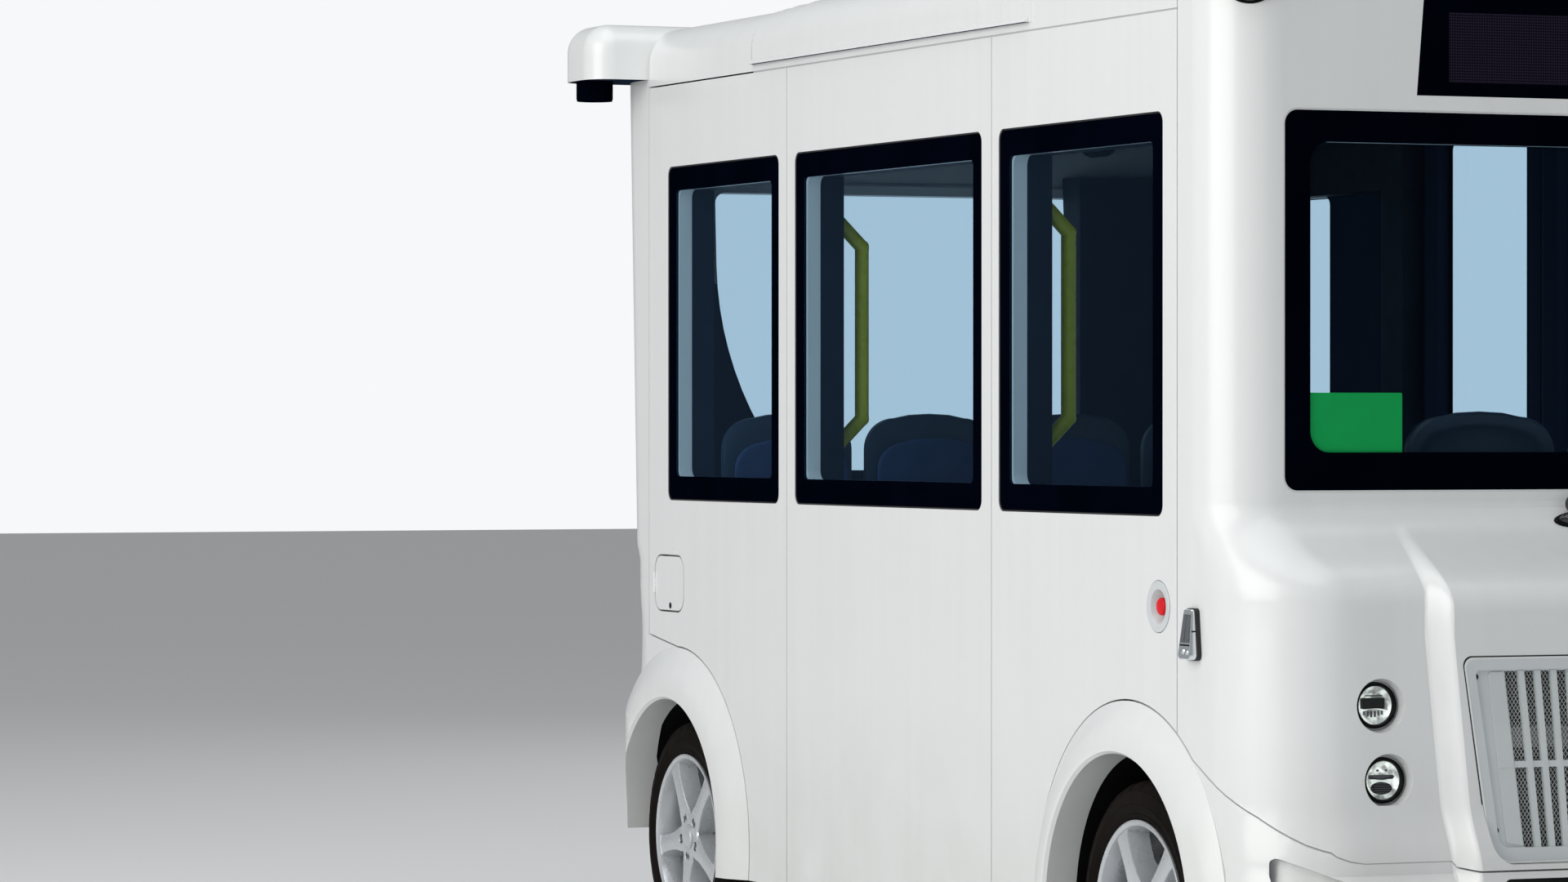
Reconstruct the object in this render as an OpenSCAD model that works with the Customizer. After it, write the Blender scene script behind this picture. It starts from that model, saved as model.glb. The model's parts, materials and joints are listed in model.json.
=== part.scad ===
// Small driverless passenger shuttle for airport aprons.
// Frame: +X forward, +Y to the vehicle's left, +Z up, origin on the ground under the middle.
// All lengths are in millimetres.

/* [Body] */
// Width over the side panels
body_w = 1900; // [1800:10:2000]
// Height of the plain roof above the ground
roof_top = 2500; // [2440:10:2600]
// Height of the side panels' lower edge
sill_z = 230; // [200:5:260]
// Height of the seam between side panels and roof, below the roof top
roof_seam_drop = 160; // [150:5:170]
// Thickness of a side panel with its lining
wall_t = 45; // [35:1:55]
// Gap between neighbouring body panels
panel_gap = 4; // [2:0.5:6]
// Radius of the upright front corners beside the windscreen
corner_r = 150; // [130:5:170]
// Radius of the roof's long edges
roof_edge_r = 100; // [90:5:110]
// Radius of the upright rear corners
rear_corner_r = 150; // [130:5:170]

/* [Nose] */
// Front axle to the seam between side panel and front mask
front_seam_dx = 243; // [230:1:256]
// Front mask: seam to windscreen plane
mask_depth = 215; // [200:5:230]
// How far the cheeks stand out below the windscreen
cheek_out = 180; // [140:5:200]
// How far the bonnet stands out from the cheeks
bonnet_out = 60; // [30:5:70]
// Half width of the bonnet
bonnet_half_w = 522; // [490:1:540]
// How far the bumper's front stands out from the bonnet
bumper_out = 80; // [50:5:90]
// Radius of the lower front corners
low_corner_r = 240; // [200:5:260]

/* [Tail] */
// Rear axle to the seam between side panel and rear mask
rear_seam_dx = 213; // [200:1:230]
// Rear mask: seam to the rear face under the roof
tail_depth = 265; // [255:1:280]
// How far the rear face leans in towards its lower edge
tail_rake = 55; // [30:1:60]
// Height of the lower edge of the rear mask
tail_split_z = 1040; // [1000:5:1080]
// How far the rear bumper stands behind the rear mask's upper edge
tail_bumper_out = 15; // [10:1:40]
// Radius of the lower rear corners
low_rear_r = 260; // [230:5:262]

/* [Windows] */
// Height of the side windows' lower edge
window_z0 = 1217; // [1190:1:1250]
// Height of the side windows
window_h = 898; // [850:1:920]
// Width of the black border round the glass
border_w = 62; // [50:1:70]
// Thickness of the glass
glass_t = 6; // [5:0.5:8]
// Corner radius of the windows
window_r = 26; // [18:1:32]
// Height of the windscreen's lower edge
screen_z0 = 1272; // [1262:1:1290]
// Height of the windscreen
screen_h = 840; // [800:5:850]
// Distance of the windscreen's side edge from the body side
screen_inset = 152; // [150:1:170]

/* [Wheels] */
// Distance between the axles
wheelbase = 2770; // [2740:5:2800]
// Rolling radius of the tyres
tyre_r = 310; // [300:1:318]
// Width of a tyre
tyre_w = 200; // [185:1:205]
// Radius of the wheel rim's edge
rim_r = 220; // [214:1:224]
// Distance of a tyre's outer side from the body side, inwards
tyre_inset = 20; // [10:1:24]
// Radius of the wheel arch openings
arch_r = 372; // [368:1:380]
// Outer radius of the front wing flares
flare_r = 490; // [480:1:500]
// Outer radius of the rear wing flares
rear_flare_r = 510; // [500:1:518]
// How far the flares stand out from the side panels
flare_out = 42; // [25:1:55]
// Kingpin's distance inwards from the tyre's middle plane
kingpin_inset = 50; // [40:1:55]
// Radius of the wheel spindles
spindle_r = 20; // [18:0.5:22]
// Radius of the kingpins
kingpin_r = 12; // [10:0.5:14]

/* [Door] */
// Height of the door leaves' lower edge
door_z0 = 275; // [265:1:300]
// Height of the header between the door leaves and the roof seam
header_h = 55; // [45:1:80]
// Gap between the two closed leaves
leaf_gap = 14; // [12:1:20]
// Gap between a leaf and the door frame
door_gap = 7; // [6:0.5:9]
// Radius of the door hinge pins
hinge_pin_r = 7; // [5:0.5:8]

/* [Cabin] */
// Height of the cabin floor
floor_z = 400; // [390:5:415]
// Distance between neighbouring seats
seat_pitch = 420; // [405:1:425]
// Width of one seat
seat_w = 400; // [360:1:402]
// Height of the top of a seat back
seat_top_z = 1450; // [1400:5:1500]
// Radius of the grab handles
handle_r = 18; // [14:0.5:20]

/* [Sensors] */
// How far the sensor pods stand out from the body side
pod_out = 165; // [150:5:175]
// Diameter of a laser scanner
scanner_d = 100; // [90:1:110]
// Height of a laser scanner below its pod
scanner_h = 56; // [50:1:70]

/* [Hidden] */
$fn = 64;

half_w = body_w / 2;
axle_z = tyre_r;
roof_seam_z = roof_top - roof_seam_drop;
door_h = roof_seam_z - header_h - door_z0;

// Stations along the vehicle, worked out from the axles
front_axle_x = (wheelbase + rear_seam_dx + tail_depth + tail_bumper_out
    - front_seam_dx - mask_depth - cheek_out - bonnet_out - bumper_out) / 2;
rear_axle_x = front_axle_x - wheelbase;
front_seam_x = front_axle_x + front_seam_dx;
screen_x = front_seam_x + mask_depth;
cheek_x = screen_x + cheek_out;
bonnet_x = cheek_x + bonnet_out;
nose_x = bonnet_x + bumper_out;
rear_seam_x = rear_axle_x - rear_seam_dx;
tail_x = rear_seam_x - tail_depth;
tail_end_x = tail_x - tail_bumper_out;

// Seams between the three side panels, from the front axle
door_front_x = front_axle_x - 741;
door_rear_x = front_axle_x - 2004;

// Side windows as [rear edge, front edge], from the seams beside them
window_rear = [rear_seam_x + 141, door_rear_x - 55];
window_rear_left = [rear_seam_x + 141, rear_axle_x + 294.5];
window_middle = [door_rear_x + 54, door_front_x - 57];
window_front = [door_front_x + 41, front_seam_x - 73];

// Heights of the nose's shoulder, where the cheeks swell out under the windscreen
shoulder_top = 1250;
shoulder_low = 1035;
ledge_top = 600;
bumper_top_z = 447;
bumper_full_z = 365;
bumper_low_z = 210;
bonnet_blend = 40;
bonnet_taper = 0.105; // how much the bonnet narrows per unit of height, downwards
ledge_out = 30;

trim = 1; // clearance of glass and lamps in their seats
seat_gap = 0.3; // gap between a piece and what it is seated on
glass_in = 3; // how far the glass lies below the skin
bore_gap = 0.05; // running clearance of a pin in its bore
cut = 5; // how far a cutter runs past the surface it cuts

function clamp01(v) = min(1, max(0, v));
function ease(a, b, v) = let (t = clamp01((v - a) / (b - a))) t * t * (3 - 2 * t);

// Rounding of the body's upper edge: how far a section at height z is drawn in
function edge_in(z) =
    z <= roof_top - roof_edge_r ? 0
    : roof_edge_r - sqrt(max(0, pow(roof_edge_r, 2) - pow(z - roof_top + roof_edge_r, 2)));

// Front face of the body at height z, before the bonnet is added
function front_face(z) =
    screen_x
    + cheek_out * (1 - ease(shoulder_low, shoulder_top, z))
    + ledge_out * (1 - ease(bumper_top_z + 20, ledge_top, z))
    + (nose_x - cheek_x - ledge_out) * (1 - ease(bumper_full_z, bumper_top_z, z)) * 0.75
    + (nose_x - cheek_x - ledge_out) * (1 - ease(bumper_full_z - 60, bumper_full_z + 30, z)) * 0.25
    - 45 * (1 - ease(bumper_low_z - 20, bumper_low_z + 110, z));

function front_corner(z) = corner_r + (low_corner_r - corner_r) * (1 - ease(1000, 1240, z));

// Half width of the bonnet at height z, at the middle of its sloped side
function bonnet_w(z) = bonnet_half_w - bonnet_taper * (900 - min(960, max(bumper_top_z, z)));

// How far the bonnet stands out at height z, and at a distance dy outwards from the middle of its side
function bonnet(dy, z) =
    bonnet_out * (1 - ease(1010, 1210, z)) * ease(bumper_full_z, bumper_top_z, z)
    * (1 - ease(-bonnet_blend / 2, bonnet_blend / 2, dy));

// One half of a horizontal section of the front, from the right side seam to the middle
function front_half(z, inset, arc_n) =
    let (w = half_w - inset - edge_in(z), x1 = front_face(z) - inset - edge_in(z),
         r = max(12, front_corner(z) - inset - edge_in(z)))
    concat(
        [[front_seam_x + panel_gap / 2 - (inset > 0 ? cut : 0), -w]],
        [for (i = [0 : arc_n]) let (a = 90 * i / arc_n)
            [x1 - r + r * sin(a), -(w - r) - r * cos(a)]],
        [for (k = [3, 2, 1, 0, -1, -2, -3]) let (dy = k * bonnet_blend / 6)
            [x1 + bonnet(dy, z), -bonnet_w(z) - dy]],
        [[x1 + bonnet(-bonnet_blend, z), -200]]);

function both_halves(half) =
    concat(half, [for (i = [len(half) - 1 : -1 : 0]) [half[i][0], -half[i][1]]]);

// Heights at which the front is drawn
front_levels = [
    bumper_low_z, 225, 250, 285, 315, 340, bumper_full_z, 385, 405, 425, bumper_top_z, 470, 490, 515, 540,
    570, ledge_top, 960, 1010, 1035, 1055, 1075, 1095, 1115, 1135, 1155, 1175, 1195, 1215, 1235, 1250,
    roof_top - roof_edge_r, roof_top - 0.83 * roof_edge_r, roof_top - 0.66 * roof_edge_r,
    roof_top - 0.5 * roof_edge_r, roof_top - 0.34 * roof_edge_r, roof_top - 0.2 * roof_edge_r,
    roof_top - 0.09 * roof_edge_r, roof_top - 0.02 * roof_edge_r, roof_top
];

// A solid stacked from sections with the same number of points
module stack(sections, levels) {
    n = len(sections[0]);
    m = len(levels);
    points = [for (k = [0 : m - 1]) for (p = sections[k]) [p[0], p[1], levels[k]]];
    sides = [for (k = [0 : m - 2]) for (i = [0 : n - 1]) let (j = (i + 1) % n)
        each [[k * n + i, (k + 1) * n + i, (k + 1) * n + j], [k * n + i, (k + 1) * n + j, k * n + j]]];
    bottom = [[for (i = [0 : n - 1]) i]];
    top = [[for (i = [n - 1 : -1 : 0]) (m - 1) * n + i]];
    polyhedron(points, concat(sides, bottom, top), convexity = 6);
}

module front_form() {
    stack([for (z = front_levels) both_halves(front_half(z, 0, 12))], front_levels);
}

// The hollow behind the front mask's skin
module front_hollow() {
    levels = [bumper_low_z - cut, bumper_top_z, ledge_top, 1005, 1075, 1145, 1215,
        roof_top - roof_edge_r, roof_top - wall_t];
    stack([for (z = levels) both_halves(front_half(z, wall_t, 4))], levels);
}

tail_tuck = 20;

// Rear face of the body at height z

function rear_face(z) =
    let (lean = tail_rake * clamp01((roof_seam_z - z) / (roof_seam_z - tail_split_z)))
    tail_x + lean + tail_tuck * (1 - ease(tail_split_z + 5, tail_split_z + 60, z))
    - (tail_bumper_out + tail_rake + tail_tuck) * (1 - ease(620, tail_split_z - 110, z));

function rear_corner(z) =
    rear_corner_r + (low_rear_r - rear_corner_r) * (1 - ease(620, tail_split_z - 40, z));

function rear_half(z, inset, arc_n) =
    let (w = half_w - inset - edge_in(z), x1 = rear_face(z) + inset + edge_in(z),
         r = max(12, rear_corner(z) - inset - edge_in(z)))
    concat(
        [[rear_seam_x - panel_gap / 2 + (inset > 0 ? cut : 0), w]],
        [for (i = [0 : arc_n]) let (a = 90 * i / arc_n)
            [x1 + r - r * sin(a), (w - r) + r * cos(a)]]);

rear_levels = [
    bumper_low_z, 260, 620, 655, 690, 725, 760, 795, 830, 865, 900, 940, 980, tail_split_z + 1,
    tail_split_z + 15, tail_split_z + 30, tail_split_z + 45, tail_split_z + 60,
    roof_seam_z, roof_top - roof_edge_r, roof_top - 0.83 * roof_edge_r, roof_top - 0.66 * roof_edge_r,
    roof_top - 0.5 * roof_edge_r, roof_top - 0.34 * roof_edge_r, roof_top - 0.2 * roof_edge_r,
    roof_top - 0.09 * roof_edge_r, roof_top - 0.02 * roof_edge_r, roof_top
];

module rear_form() {
    stack([for (z = rear_levels) both_halves(rear_half(z, 0, 12))], rear_levels);
}

module rear_hollow() {
    levels = [bumper_low_z - cut, 620, 830, tail_split_z, roof_seam_z, roof_top - wall_t];
    stack([for (z = levels) both_halves(rear_half(z, wall_t, 4))], levels);
}

// A rectangle with round corners, from corner a to corner b
module round_rect(a, b, r) {
    translate([a[0] + r, a[1]]) square([b[0] - a[0] - 2 * r, b[1] - a[1]]);
    translate([a[0], a[1] + r]) square([b[0] - a[0], b[1] - a[1] - 2 * r]);
    for (x = [a[0] + r, b[0] - r], y = [a[1] + r, b[1] - r])
        translate([x, y]) circle(r = r, $fn = 32);
}

// Outlines in the XZ plane, extruded from y0 to y1
module along_y(y0, y1) {
    translate([0, y1, 0]) rotate([90, 0, 0]) linear_extrude(y1 - y0, convexity = 6) children();
}

// Outlines in the YZ plane, extruded from x0 to x1
module along_x(x0, x1) {
    translate([x0, 0, 0]) rotate([90, 0, 90]) linear_extrude(x1 - x0, convexity = 6) children();
}

module box(a, b) {
    translate(a) cube(b - a);
}

module on_left() {
    mirror([0, 1, 0]) children();
}

module both_sides() {
    children();
    on_left() children();
}

// What the front bumper and its wings take from the side view, less a gap of g
module front_wing_outline(g) {
    translate([front_axle_x, axle_z]) circle(r = flare_r - g, $fn = 96);
    polygon([
        [front_axle_x, 0], [front_axle_x + 300, 0], [nose_x + 100, 0],
        [nose_x + 100, bumper_top_z - 5 - g], [bonnet_x + 30, bumper_top_z + 4 - g],
        [cheek_x + 36, bumper_top_z + 11 - g], [cheek_x + 27, bumper_top_z + 28 - g],
        [cheek_x + 13, bumper_top_z + 49 - g], [cheek_x - 12, bumper_top_z + 65 - g],
        [cheek_x - 32, bumper_top_z + 79 - g], [cheek_x - 62, bumper_top_z + 99 - g],
        [cheek_x - 95, bumper_top_z + 121 - g], [cheek_x - 159, bumper_top_z + 156 - g],
        [cheek_x - 222, bumper_top_z + 190 - g], [front_axle_x + 316, axle_z + 374 - g],
        [front_axle_x, axle_z + 300]
    ]);
}

module rear_wing_outline(g) {
    translate([rear_axle_x, axle_z]) circle(r = rear_flare_r - g, $fn = 96);
    polygon([
        [rear_axle_x, 0], [rear_axle_x, axle_z + rear_flare_r - g],
        [rear_seam_x, axle_z + rear_flare_r + 28 - g],
        [rear_seam_x + panel_gap / 2 - 2 * g / 4, axle_z + rear_flare_r + 28 - g],
        [rear_seam_x, tail_split_z - g],
        [tail_end_x - 100, tail_split_z - g], [tail_end_x - 100, 0]
    ]);
}

// A side window's seat and opening, cut into a panel on the right side
module window_seat(w) {
    along_y(-half_w - cut, -half_w + glass_in + glass_t + seat_gap)
        round_rect([w[0] - trim, window_z0 - trim], [w[1] + trim, window_z0 + window_h + trim], window_r);
    along_y(-half_w - cut, -half_w + wall_t + cut)
        round_rect([w[0] + border_w, window_z0 + border_w],
            [w[1] - border_w, window_z0 + window_h - border_w], window_r);
}

module side_panel(x0, x1, z0, z1) {
    box([x0 + panel_gap / 2, -half_w, z0], [x1 - panel_gap / 2, -half_w + wall_t, z1 - panel_gap]);
}

module panel_front() {
    difference() {
        side_panel(door_front_x, front_seam_x, sill_z, roof_seam_z);
        window_seat(window_front);
        along_y(-half_w - cut, -half_w + wall_t + cut) front_wing_outline(-panel_gap);
    }
}

module panel_rear(window) {
    difference() {
        side_panel(rear_seam_x, door_rear_x, sill_z, roof_seam_z);
        window_seat(window);
        along_y(-half_w - cut, -half_w + wall_t + cut) rear_wing_outline(-panel_gap);
    }
}

// Charging flap in the right rear panel, on a small hinge along its rear edge
flap_x = [rear_seam_x + 47, rear_seam_x + 254];
flap_z = [919, 1064];
flap_r = 40;
flap_t = 6;
flap_gap = 5;
flap_pin_r = 2;
flap_knuckle_r = 4;
flap_pin = [flap_x[0] - 3, -half_w - 1.5];
flap_knuckles = [964, 978.5, 1004.5, 1019];
pocket_depth = 34;
inlet_r = 26;
inlet_h = 20;

module flap_pocket() {
    along_y(-half_w - cut, -half_w + pocket_depth)
        round_rect([flap_x[0] - flap_gap, flap_z[0] - flap_gap],
            [flap_x[1] + flap_gap, flap_z[1] + flap_gap], flap_r + flap_gap);
    translate([flap_pin[0], flap_pin[1], flap_knuckles[1]])
        cylinder(r = flap_knuckle_r + 1, h = flap_knuckles[2] - flap_knuckles[1]);
}

module flap_hinge() {
    for (k = [0, 2]) translate([flap_pin[0], flap_pin[1], flap_knuckles[k]])
        cylinder(r = flap_knuckle_r, h = flap_knuckles[k + 1] - flap_knuckles[k]);
    translate([flap_pin[0], flap_pin[1], flap_knuckles[0]])
        cylinder(r = flap_pin_r, h = flap_knuckles[3] - flap_knuckles[0]);
}

stop_x = front_seam_x - 93;
stop_z = 1016;
stop_dish_r = 58;

module stop_hole() {
    translate([stop_x, -half_w - cut, stop_z]) rotate([-90, 0, 0])
        cylinder(r = stop_dish_r + trim, h = 30 + cut);
}

module panel_right_front() {
    color("white") difference() {
        panel_front();
        stop_hole();
    }
}

module panel_left_front() {
    color("white") on_left() difference() {
        panel_front();
        stop_hole();
    }
}

module panel_right_middle() {
    color("white") difference() {
        side_panel(door_rear_x, door_front_x, sill_z, roof_seam_z);
        window_seat(window_middle);
    }
}

module panel_right_rear() {
    color("white") {
        difference() {
            panel_rear(window_rear);
            flap_pocket();
        }
        flap_hinge();
    }
}

module panel_left_rear() {
    color("white") on_left() panel_rear(window_rear_left);
}

// Sill, header and hinge pins of the door opening on the left
hinge_y = half_w + hinge_pin_r + 8;
hinge_knuckle_r = hinge_pin_r + 6;
hinge_heights = [door_z0 + 225, door_z0 + door_h / 2, door_z0 + door_h - 225];
hinge_h = 60;
strap_t = 4;
threshold = 60;
leaf_x = [door_rear_x + door_gap, (door_rear_x + door_front_x - leaf_gap) / 2];
hinge_x = [door_rear_x + panel_gap / 2, door_front_x - panel_gap / 2];

module hinge_half(z) {
    for (dz = [-hinge_h, hinge_h / 2 + 0.5])
        translate([hinge_x[0], hinge_y, z + dz]) cylinder(r = hinge_knuckle_r, h = hinge_h / 2 - 0.5);
    translate([hinge_x[0], hinge_y, z - hinge_h]) cylinder(r = hinge_pin_r, h = 2 * hinge_h);
    for (dz = [-hinge_h, hinge_h / 2 + 0.5])
        box([hinge_x[0] - 60, half_w + 0.3, z + dz],
            [hinge_x[0], half_w + 0.3 + strap_t, z + dz + hinge_h / 2 - 0.5]);
}

module mirror_door() {
    translate([door_front_x + door_rear_x, 0, 0]) mirror([1, 0, 0]) children();
}

module door_surround() {
    color("white") {
        box([door_rear_x + panel_gap / 2, half_w - wall_t - threshold, sill_z],
            [door_front_x - panel_gap / 2, half_w, door_z0 - door_gap]);
        box([door_rear_x + panel_gap / 2, half_w - wall_t - threshold, sill_z],
            [door_front_x - panel_gap / 2, half_w - wall_t - door_gap, floor_z - floor_t - seat_gap]);
        box([door_rear_x + panel_gap / 2, half_w - wall_t, door_z0 + door_h + door_gap],
            [door_front_x - panel_gap / 2, half_w, roof_seam_z - panel_gap]);
        box([door_rear_x + 40, half_w - wall_t - 8, roof_seam_z - 38],
            [door_front_x - 40, half_w - wall_t + 1, roof_seam_z - panel_gap]);
    }
    color("silver") for (z = hinge_heights) {
        hinge_half(z);
        mirror_door() hinge_half(z);
    }
}

leaf_t = wall_t;
leaf_border = 70;
leaf_glass_z = [door_z0 + 150, door_z0 + door_h - 90];

module leaf_opening(grow) {
    round_rect([leaf_x[0] + leaf_border - grow, leaf_glass_z[0] - grow],
        [leaf_x[1] - leaf_border + grow, leaf_glass_z[1] + grow], window_r);
}

module door_leaf() {
    color("white") difference() {
        union() {
            box([leaf_x[0], half_w - leaf_t, door_z0], [leaf_x[1], half_w, door_z0 + door_h]);
            for (z = hinge_heights) {
                translate([hinge_x[0], hinge_y, z - hinge_h / 2]) cylinder(r = hinge_knuckle_r, h = hinge_h);
                box([hinge_x[0], half_w - 1, z - hinge_h / 2],
                    [hinge_x[0] + 70, half_w + strap_t, z + hinge_h / 2]);
            }
        }
        for (z = hinge_heights)
            translate([hinge_x[0], hinge_y, z - hinge_h / 2 - 1])
                cylinder(r = hinge_pin_r + bore_gap, h = hinge_h + 2);
        along_y(half_w - glass_in - glass_t - seat_gap, half_w + strap_t + cut) leaf_opening(25);
        along_y(half_w - leaf_t - cut, half_w + cut) leaf_opening(0);
    }
}

module door_glass() {
    color([0.1, 0.2, 0.25, 0.5])
        along_y(half_w - glass_in - glass_t, half_w - glass_in) leaf_opening(25 - trim);
}

// Wings: a round flare that swells out round each wheel arch
module flare(x, r_out) {
    translate([x, 0, axle_z]) rotate([90, 0, 0]) rotate_extrude($fn = 96) polygon([
        [arch_r, half_w - wall_t], [arch_r, half_w + flare_out - 10], [arch_r + 6, half_w + flare_out - 2],
        [arch_r + 16, half_w + flare_out],
        [arch_r + 0.45 * (r_out - arch_r), half_w + flare_out * 0.86],
        [arch_r + 0.8 * (r_out - arch_r), half_w + flare_out * 0.36],
        [r_out, half_w + 1], [r_out, half_w - wall_t]
    ]);
}

// Plan outline that the flares keep within where the corners turn in
module wing_plan() {
    w = half_w + flare_out + 1;
    linear_extrude(1000) hull() {
        for (s = [-1, 1]) {
            translate([cheek_x + 40 - low_corner_r, s * (w - low_corner_r)])
                circle(r = low_corner_r, $fn = 64);
            translate([tail_end_x + low_rear_r, s * (w - low_rear_r)]) circle(r = low_rear_r, $fn = 64);
        }
    }
}

module arch_cut(x) {
    translate([x, 0, axle_z]) rotate([90, 0, 0])
        cylinder(r = arch_r, h = body_w + 400, center = true, $fn = 96);
    box([x - arch_r, -half_w - 200, 0], [x + arch_r, half_w + 200, axle_z]);
}

intake_half_w = 404;
intake_z = [300, 436];
pocket_in = 24;

module front_bumper() {
    color("white") difference() {
        union() {
            intersection() {
                difference() {
                    front_form();
                    front_hollow();
                }
                along_y(-half_w - 100, half_w + 100) front_wing_outline(0);
            }
            intersection() {
                union() {
                    flare(front_axle_x, flare_r);
                    on_left() flare(front_axle_x, flare_r);
                }
                wing_plan();
            }
        }
        arch_cut(front_axle_x);
        box([0, -half_w - 200, -10], [nose_x, half_w + 200, sill_z]);
        along_x(bonnet_x - 60, nose_x + cut)
            round_rect([-intake_half_w, intake_z[0]], [intake_half_w, intake_z[1]], 18);
        both_sides() bumper_pocket();
    }
}

// Shallow pocket low in each front corner, with a floor that follows the corner
module bumper_pocket() {
    difference() {
        hull() for (p = [[54, 38], [54, -130], [180, -12], [290, -60], [290, -130]])
            translate([cheek_x - 320, -half_w + p[0] + 12, bumper_top_z + p[1] - 12]) rotate([0, 90, 0])
                cylinder(r = 12, h = 600, $fn = 24);
        stack([for (z = pocket_levels) both_halves(front_half(z, pocket_in, 12))], pocket_levels);
    }
}

pocket_levels = [bumper_low_z, 250, 285, 315, 340, bumper_full_z, 385, 405, 425, bumper_top_z, 490, 540];

module rear_bumper() {
    color("white") difference() {
        union() {
            intersection() {
                difference() {
                    rear_form();
                    rear_hollow();
                }
                along_y(-half_w - 100, half_w + 100) rear_wing_outline(0);
            }
            intersection() {
                union() {
                    flare(rear_axle_x, rear_flare_r);
                    on_left() flare(rear_axle_x, rear_flare_r);
                    wing_bridge();
                    on_left() wing_bridge();
                }
                wing_plan();
            }
        }
        arch_cut(rear_axle_x);
        box([tail_end_x - cut, -half_w - 200, -10], [rear_axle_x, half_w + 200, tail_low_z]);
        box([rear_axle_x - 1, -half_w - 200, -10], [0, half_w + 200, sill_z]);
        both_sides() for (z = tail_lamp_z) tail_lamp_hole(z);
    }
}

tail_low_z = 310;

// Joins the rear flare to the bumper above and behind the wheel
module wing_bridge() {
    along_y(-half_w, -half_w + wall_t) difference() {
        polygon([
            [rear_axle_x, axle_z + rear_flare_r - 40], [rear_axle_x, axle_z + rear_flare_r],
            [rear_seam_x, axle_z + rear_flare_r + 28], [rear_seam_x - 20, axle_z + rear_flare_r + 28],
            [rear_seam_x - 20, axle_z + 200], [rear_axle_x - 120, axle_z + 380]
        ]);
        translate([rear_axle_x, axle_z]) circle(r = arch_r);
    }
}

lamp_y = [half_w - 294.5, half_w - 314];
lamp_z = [812, 649];
lamp_hole_r = 59;
lamp_r = 50;
lamp_depth = 30;

module lamp_hole(y, z) {
    translate([cheek_x - lamp_depth, y, z]) rotate([0, 90, 0])
        cylinder(r1 = lamp_r + 4, r2 = lamp_hole_r, h = lamp_depth + 0.5);
    translate([cheek_x - wall_t - 60, y, z]) rotate([0, 90, 0]) cylinder(r = lamp_r + 1, h = 90);
}

sign_half_w = [450, 469];
sign_z = [screen_z0 + screen_h + 33, roof_top - roof_edge_r - 20];

module sign_outline(grow) {
    polygon([
        [-sign_half_w[1] - grow, sign_z[0] - grow], [sign_half_w[1] + grow, sign_z[0] - grow],
        [sign_half_w[0] + grow, sign_z[1] + grow], [-sign_half_w[0] - grow, sign_z[1] + grow]
    ]);
}

grille_z = [467, 916];
grille_half_w = [429, 484];
grille_seat = 14;

module grille_outline(grow) {
    hull() for (s = [-1, 1]) {
        translate([s * (grille_half_w[0] - 62 + grow), grille_z[0] + 60 - grow]) circle(r = 60, $fn = 48);
        translate([s * (grille_half_w[1] - 20 + grow), grille_z[1] - 20 + grow]) circle(r = 20, $fn = 32);
    }
}

module front_mask() {
    color("white") difference() {
        front_form();
        front_hollow();
        along_y(-half_w - 100, half_w + 100) front_wing_outline(-panel_gap);
        along_x(screen_x - glass_in - glass_t - seat_gap, screen_x + cut) screen_outline(0);
        along_x(screen_x - wall_t - 60, screen_x + cut) screen_outline(border_w);
        along_x(screen_x - 12, screen_x + cut) sign_outline(0);
        along_x(cheek_x - 150, nose_x) grille_outline(-26);
        along_x(bonnet_x - grille_seat, nose_x) grille_outline(trim);
        both_sides() for (i = [0, 1]) lamp_hole(-lamp_y[i], lamp_z[i]);
        pod_seat(front_pod);
    }
    color("silver") translate([screen_x - 12, wiper_y, wiper_z]) rotate([0, 90, 0])
        cylinder(r = wiper_pin_r, h = 43);
}

module screen_outline(inset) {
    w = half_w - screen_inset - inset;
    low = inset > border_w / 2 ? inset + 12 : inset;
    hull() for (s = [-1, 1], z = [screen_z0 + low + 34, screen_z0 + screen_h - low - 34])
        translate([s * (w - 34), z]) circle(r = 34, $fn = 32);
}

module windscreen() {
    color([0.1, 0.2, 0.25, 0.5])
        along_x(screen_x - glass_in - glass_t, screen_x - glass_in) screen_outline(trim);
}

// Rear mask with its window and sign
rear_window_half_w = half_w - 275;
rear_straight = 205;
rear_window_z = [1290, 2063];
rear_border = 42;
rear_curve_r = 900;

rear_lean = atan(tail_rake / (roof_seam_z - tail_split_z));

module on_rear() {
    translate([rear_face(rear_window_z[0]), 0, rear_window_z[0]]) rotate([0, -rear_lean, 0]) children();
}

// The rear window's clear opening, grown by its border: the sides curve in towards the lower edge
module rear_outline(grow) {
    h = rear_window_z[1] - rear_window_z[0];
    mid = rear_curve_r - rear_window_half_w;
    offset(r = grow + 30, $fn = 48) offset(delta = -30) {
        translate([-rear_window_half_w, h - rear_straight - 1])
            square([2 * rear_window_half_w, rear_straight + 1]);
        intersection() {
            translate([-rear_window_half_w, 0]) square([2 * rear_window_half_w, h - rear_straight]);
            translate([mid, h - rear_straight]) circle(r = rear_curve_r, $fn = 96);
            translate([-mid, h - rear_straight]) circle(r = rear_curve_r, $fn = 96);
        }
    }
}

module rear_plate(x0, x1) {
    on_rear() translate([x0, 0, 0]) rotate([90, 0, 90]) linear_extrude(x1 - x0, convexity = 6) children();
}

rear_sign = [380, 850, 1010];

module rear_sign_outline(grow) {
    translate([-rear_sign[0] - grow, rear_sign[1] - grow])
        square([2 * rear_sign[0] + 2 * grow, rear_sign[2] - rear_sign[1] + 2 * grow]);
}

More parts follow.
